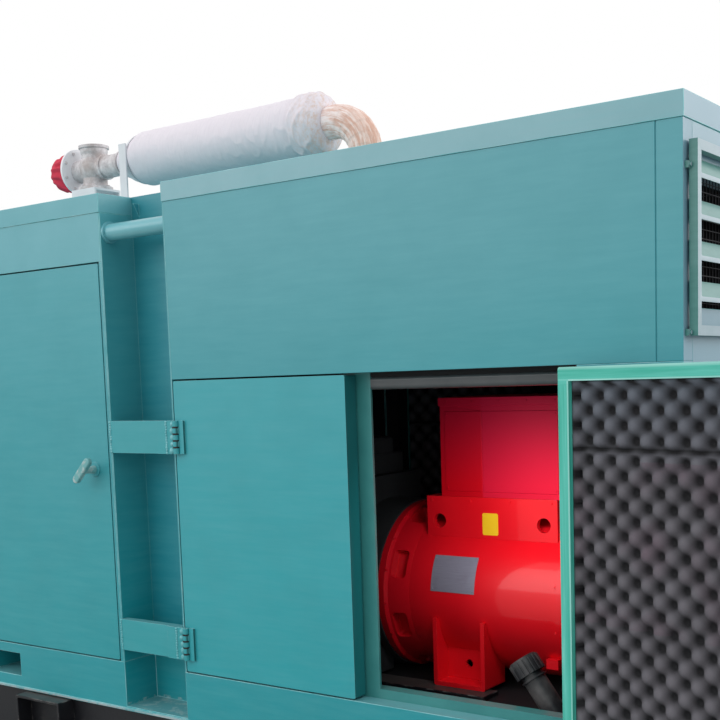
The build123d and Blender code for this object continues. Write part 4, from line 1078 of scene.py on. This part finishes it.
def ribbed_plastic(b):
    spot = b.place()
    dust = b.noise(spot, 14.0, 4.0).above(0.40, 0.70)
    return {"Base Color": b.mix(dust, (0.022, 0.022, 0.025), (0.115, 0.110, 0.110)), "Roughness": 0.38,
            "Normal": b.relief(b.noise(spot, 160.0, 2.0), 0.0004, 0.5)}


dress("fuel_filler", finish_of("black_plastic", ribbed_plastic), None, 0.0008)

# Silencer lagging and riser wrap
# The silencer is wrapped in pale lagging cloth that has slipped and creased towards the elbow,
# and the riser is bound with fibre tape that the heat has browned.

drum_low, drum_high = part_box("silencer")
z_pipe = (drum_low[2] + drum_high[2]) / 2
drum_radius, cone_radius, outlet_radius = 0.103, 0.054, 0.062
drum_end = drum_high[0] - 0.034
cone_tip = drum_low[0]
cone_base = cone_tip + 0.130
band_start = drum_end - 0.084


def drum_profile(x):
    """The radius under the cloth at a place along the silencer."""
    if x < cone_base:
        return cone_radius + (x - cone_tip) / (cone_base - cone_tip) * (drum_radius - cone_radius)
    if x < band_start:
        return drum_radius
    if x < drum_end:
        swell = math.sin(math.pi * (x - band_start) / (drum_end - band_start))
        return drum_radius + 0.002 + 0.005 * swell
    fall = (x - drum_end) / (drum_high[0] - drum_end)
    return outlet_radius + (drum_radius - outlet_radius) * math.sqrt(max(0.0, 1 - fall ** 2))


def lagging_crease(x, angle):
    """How far a crease of the cloth stands off the drum."""
    round_trip = Vector((math.cos(angle), math.sin(angle), 0))
    towards_elbow = max(0.0, (x - cone_base) / (drum_end - cone_base))
    spot = Vector((x * 26.0, round_trip.x * 1.5, round_trip.y * 1.5))
    ridges = (1.0 - abs(noise.noise(spot))) ** 6
    fine = noise.noise(Vector((x * 90.0, round_trip.x * 3.0, round_trip.y * 3.0)))
    slack = noise.noise(Vector((x * 5.0, round_trip.x * 1.2, round_trip.y * 1.2 + 4.0)))
    near_band = math.exp(-((x - band_start) / 0.012) ** 2)
    bunched = 0.25 + 0.8 * towards_elbow ** 3 + (1.0 if x > band_start else 0.0)
    return 0.0036 * ridges * bunched + 0.0012 * fine * bunched + 0.0022 * slack - 0.0055 * near_band


def wrapping(name, made, rings):
    """A closed wrap from its rings, smooth all along and flat over both ends."""
    join_rings(made, rings)
    for face in made.faces:
        face.smooth = len(face.verts) == 4
    return finished_mesh(name, made)


def lagging_shell():
    """The cloth as one closed shell over the drum."""
    around, along = 144, 230
    made = bmesh.new()
    rings = []
    for i in range(along + 1):
        x = cone_tip + (drum_high[0] - cone_tip) * i / along
        taper = min(1.0, i / 8, (along - i) / 8)
        ring = []
        for j in range(around):
            angle = math.tau * j / around
            radius = drum_profile(x) + taper * lagging_crease(x, angle)
            ring.append(made.verts.new((x, radius * math.cos(angle), z_pipe + radius * math.sin(angle))))
        rings.append(ring)
    return wrapping("silencer_lagging", made, rings)


def pale_cloth(b):
    spot = b.place()
    weave = b.node("ShaderNodeTexWave", {"bands_direction": "X"},
                   {"Vector": spot, "Scale": 170.0, "Distortion": 1.5})
    threads = b.noise(b.place((60.0, 6.0, 6.0)), 3.0, 4.0, 0.7)
    grime = b.noise(spot, 6.0, 5.0, 0.65)
    # Downward faces turn a darker blue grey: painted shade under the drum.
    under = (b.facing("Z") * -1).above(-0.2, 0.9)
    by_elbow = b.axis(spot, "X").above(drum_end - 0.10, drum_high[0])
    browned = by_elbow * b.noise(b.place((14.0, 9.0, 9.0)), 6.0, 5.0, 0.7).above(0.44, 0.62)
    tone = b.mix(threads, (0.76, 0.70, 0.76), (0.90, 0.84, 0.89))
    tone = b.mix(grime.above(0.52, 0.80) * 0.4, tone, (0.60, 0.57, 0.60))
    tone = b.mix(under * 0.5, tone, (0.50, 0.60, 0.65))
    return {
        "Base Color": b.mix(browned * 0.7, tone, (0.72, 0.52, 0.42)),
        "Roughness": 0.86,
        "Normal": b.relief(weave, 0.0006, 0.4, b.relief(threads, 0.0016, 0.6)),
    }


lagging = finish_of("pale_lagging", pale_cloth)
cloth = piece("silencer_lagging", lagging_shell(), "housing", "wrap_cloth", lagging)
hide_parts("silencer")

riser_low, riser_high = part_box("exhaust_riser")
riser_radius = (riser_high[1] - riser_low[1]) / 2
riser_x = riser_high[0] - riser_radius
riser_bend = 0.130
tape_pitch = 0.034


def riser_path(share):
    """A place along the riser and the way it runs there, from the roof to the silencer."""
    rise = z_pipe - riser_bend - riser_low[2]
    arc = riser_bend * math.pi / 2
    run = riser_x - riser_bend - drum_high[0]
    travel = share * (rise + arc + run)
    if travel < rise:
        return Vector((riser_x, 0, riser_low[2] + travel)), Vector((0, 0, 1)), travel
    if travel < rise + arc:
        turn = (travel - rise) / riser_bend
        centre = Vector((riser_x - riser_bend, 0, z_pipe - riser_bend))
        spoke = Vector((math.cos(turn), 0, math.sin(turn)))
        return centre + riser_bend * spoke, Vector((-math.sin(turn), 0, math.cos(turn))), travel
    return Vector((riser_x - riser_bend - (travel - rise - arc), 0, z_pipe)), Vector((-1, 0, 0)), travel


def tape_wrap():
    """Tape wound round the riser, each turn lapping the one before."""
    around, along = 72, 190
    made = bmesh.new()
    twist = made.verts.layers.float.new("twist")
    fibre = made.verts.layers.float_vector.new("fibre")
    rings = []
    for i in range(along + 1):
        centre, ahead, travel = riser_path(i / along)
        side = Vector((0, 1, 0))
        up = ahead.cross(side)
        taper = min(1.0, i / 4, (along - i) / 4)
        ring = []
        for j in range(around):
            angle = math.tau * j / around
            a, c = math.cos(angle), math.sin(angle)
            turn = (travel / tape_pitch + angle / math.tau) % 1.0
            lap = 0.0011 * (1.0 - turn)
            fray = 0.0016 * noise.noise(Vector((travel * 70.0, 3.0 * a, 3.0 * c)))
            radius = riser_radius + taper * (lap + fray)
            vert = made.verts.new(centre + radius * (a * side + c * up))
            vert[twist] = turn
            vert[fibre] = Vector((a * riser_radius, c * riser_radius, travel * 0.16))
            ring.append(vert)
        rings.append(ring)
    return wrapping("riser_tape", made, rings)


def browned_tape(b):
    spot = b.place()
    streak = b.noise(b.stored("fibre", "Vector"), 75.0, 6.0, 0.72)
    lap = b.stored("twist").above(0.88, 1.0)
    heat = b.axis(spot, "X").above(riser_x - 0.14, riser_x + 0.05)
    pale = b.mix(heat, (0.95, 0.85, 0.84), (0.90, 0.72, 0.64))
    tone = b.mix((streak + heat * 0.08).above(0.46, 0.64) * 0.85, pale, (0.66, 0.36, 0.26))
    return {
        "Base Color": b.mix(lap * 0.12, tone, (0.45, 0.28, 0.20)),
        "Roughness": 0.8,
        "Normal": b.relief(streak, 0.002, 0.7),
    }


tape = piece("riser_tape", tape_wrap(), "housing", "riser_wrap", finish_of("browned_tape", browned_tape))
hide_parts("exhaust_riser")

# Outlet tee, stand and bracket
# A grey cast tee with a flared mouth, bolted to a blank disc and to a welded stand. One flat bar
# with a strap holds the silencer; it was left in pale primer.


stand_low, stand_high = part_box("outlet_stand")
tee_x = (stand_low[0] + stand_high[0]) / 2
disc_x = tee_x - 0.095


def cast_grey(b):
    spot = b.place()
    mottle = b.noise(spot, 32.0, 5.0, 0.7)
    stain = b.noise(spot, 11.0, 4.0, 0.6).above(0.50, 0.68)
    disc = b.axis(spot, "X").math("LESS_THAN", disc_x + 0.0005)
    tone = b.mix(mottle.above(0.35, 0.7), (0.48, 0.44, 0.45), (0.82, 0.78, 0.79))
    tone = b.mix(stain * 0.6, tone, (0.38, 0.30, 0.27))
    return {
        "Base Color": b.mix(disc, tone, (0.84, 0.83, 0.86)),
        "Roughness": 0.5 + mottle * 0.2,
        "Metallic": 0.1,
        "Normal": b.relief(mottle, 0.0016, 0.6),
    }


def pale_primer(b):
    cloud = b.noise(b.place(), 16.0, 4.0)
    return {"Base Color": b.mix(cloud, (0.66, 0.67, 0.70), (0.82, 0.83, 0.86)), "Roughness": 0.5}


tee_finish = finish_of("mottled_casting", cast_grey)
primer = finish_of("pale_primer", pale_primer)
dress("outlet_tee", tee_finish, None, 0.0012)
dress("outlet_stand", primer, None, 0.0015)
dress("silencer_bracket", primer, None, 0.0008)
foot_flange, foot_circle, disc_circle = 0.012, 0.060, 0.076
foot_ring = bolt_ring((tee_x, 0, stand_high[2] + foot_flange), foot_circle, 6, "Z", 0.3)
bolts("foot_bolts", foot_ring, [(0, 0, 1)] * 6, "grey_metal", tee_finish, 0.006)
disc_ring = bolt_ring((disc_x, 0, z_pipe), disc_circle, 8, "X", 0.39)
bolts("disc_bolts", disc_ring, [(1, 0, 0)] * 8, "grey_metal", tee_finish, 0.006)

# Red rag on the blanked side
# A square of red cotton, bunched over the stub and tied there to keep the rain out. Its pleats
# run from the knot to the disc.

rag_low, rag_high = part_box("outlet_cover")


def rag_shell():
    """The cloth as one sheet, gathered at its closed end and pleated round the stub."""
    around, along = 160, 46
    made = bmesh.new()
    length = rag_high[0] - rag_low[0]
    outer = (rag_high[2] - rag_low[2]) / 2 + 0.005
    rings = []
    for i in range(1, along + 1):
        share = i / along
        bell = share ** 0.22
        ring = []
        for j in range(around):
            angle = math.tau * j / around
            way = Vector((math.cos(angle), math.sin(angle), 0))
            pleat = math.sin(angle * 13 + 5.0 * noise.noise(way * 1.5 + Vector((0, 0, share * 1.4))))
            fold = noise.noise(way * 2.2 + Vector((0, 0, share * 3.0)))
            radius = outer * bell * (0.90 + 0.055 * pleat * (0.4 + share) + 0.06 * fold)
            x = rag_low[0] - 0.004 + (length + 0.003) * share ** 1.4 + 0.008 * fold * (1 - share)
            ring.append(made.verts.new((x, radius * way.x, z_pipe + radius * way.y)))
        rings.append(ring)
    join_rings(made, rings, capped=False)
    tip = made.verts.new((rag_low[0] - 0.005, 0, z_pipe))
    for j in range(around):
        made.faces.new((rings[0][(j + 1) % around], rings[0][j], tip))
    for face in made.faces:
        face.smooth = True
    area = sum(face.calc_area() for face in made.faces)
    return finished_mesh("red_rag", made), area


def red_cotton(b):
    spot = b.place()
    weave = b.node("ShaderNodeTexWave", {"bands_direction": "DIAGONAL"},
                   {"Vector": spot, "Scale": 260.0, "Distortion": 0.6})
    worn = b.noise(spot, 22.0, 4.0)
    return {
        "Base Color": b.mix(worn, (0.54, 0.020, 0.050), (0.76, 0.055, 0.110)),
        "Roughness": 0.9,
        "Normal": b.relief(weave, 0.0006, 0.5),
    }


rag_mesh, rag_area = rag_shell()
rag = piece("red_rag", rag_mesh, "housing", "red_cloth", finish_of("red_cotton", red_cotton))
thickness = rag.modifiers.new("cloth", "SOLIDIFY")
thickness.thickness = 0.0012
thickness.offset = -1.0
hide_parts("outlet_cover")

# Floor, backdrop, light and camera
# A pale matt floor under an overcast white sky, which is brightest over the alternator end. A weak
# lamp in the doorway stands for the daylight that falls in past the open leaf.


def stage_sheet():
    span = 14.0
    corners = [(-span, -span, 0), (span, -span, 0), (span, span, 0), (-span, span, 0)]
    mesh = bpy.data.meshes.new("floor")
    mesh.from_pydata(corners, [], [(0, 1, 2, 3)])
    floor = bpy.data.objects.new("floor", mesh)
    bpy.context.scene.collection.objects.link(floor)
    made = bpy.data.materials.new("pale_floor")
    made.use_nodes = True
    shader = made.node_tree.nodes["Principled BSDF"]
    shader.inputs["Base Color"].default_value = (0.42, 0.42, 0.41, 1.0)
    shader.inputs["Roughness"].default_value = 0.9
    mesh.materials.append(made)


stage_sheet()

world = bpy.data.worlds.new("sky")
bpy.context.scene.world = world
world.use_nodes = True
sky = Board(world.node_tree)
seen = sky.node("ShaderNodeLightPath", {}, {}, "Is Camera Ray")
level = sky.axis(sky.node("ShaderNodeTexCoord", {}, {}, "Generated"), "Z").above(-0.1, 0.35)
dome = sky.mix(level, (0.44, 0.45, 0.46), (0.97, 0.99, 1.0))
shown = sky.mix(seen, dome, (1.0, 1.0, 1.0))
sky.node("ShaderNodeOutputWorld", {}, {
    "Surface": sky.node("ShaderNodeBackground", {}, {"Color": shown, "Strength": 1.0})})


def soft_lamp(name, place, aim, width, height, watts):
    lamp = bpy.data.lights.new(name, "AREA")
    lamp.shape = "RECTANGLE"
    lamp.size = width
    lamp.size_y = height
    lamp.energy = watts
    holder = bpy.data.objects.new(name, lamp)
    bpy.context.scene.collection.objects.link(holder)
    holder.location = place
    holder.rotation_euler = (Vector(aim) - Vector(place)).to_track_quat("-Z", "Y").to_euler()
    return holder


soft_lamp("sky_over_front", (-5.0, -9.4, 5.4), (0.2, -0.6, 1.6), 9.0, 6.0, 310)
soft_lamp("sky_over_right", (7.5, 5.5, 4.5), (1.8, 0.0, 1.2), 7.0, 5.0, 340)
doorway = soft_lamp("sky_through_doorway", (1.24, -0.53, 1.10), (1.10, -0.10, 0.70), 0.30, 0.10, 1.8)
doorway.visible_glossy = False

eye = bpy.data.cameras.new("eye")
eye.lens = 57.973
eye.sensor_width = 36.0
eye.shift_y = 0.2
eye.clip_end = 200.0
yaw = math.radians(36.235)
pitch = math.radians(-6.199)
roll = math.radians(-1.932)
ahead = Vector((-math.sin(yaw) * math.cos(pitch), math.cos(yaw) * math.cos(pitch), math.sin(pitch)))
level_right = Vector((math.cos(yaw), math.sin(yaw), 0.0))
upright = level_right.cross(ahead)
right = level_right * math.cos(roll) + upright * math.sin(roll)
upward = upright * math.cos(roll) - level_right * math.sin(roll)
holder = bpy.data.objects.new("eye", eye)
holder.matrix_world = Matrix((right, upward, -ahead)).transposed().to_4x4()
holder.location = (2.7918, -3.3447, 1.3651)
bpy.context.scene.collection.objects.link(holder)
bpy.context.scene.camera = holder
bpy.context.scene.view_settings.view_transform = "Standard"
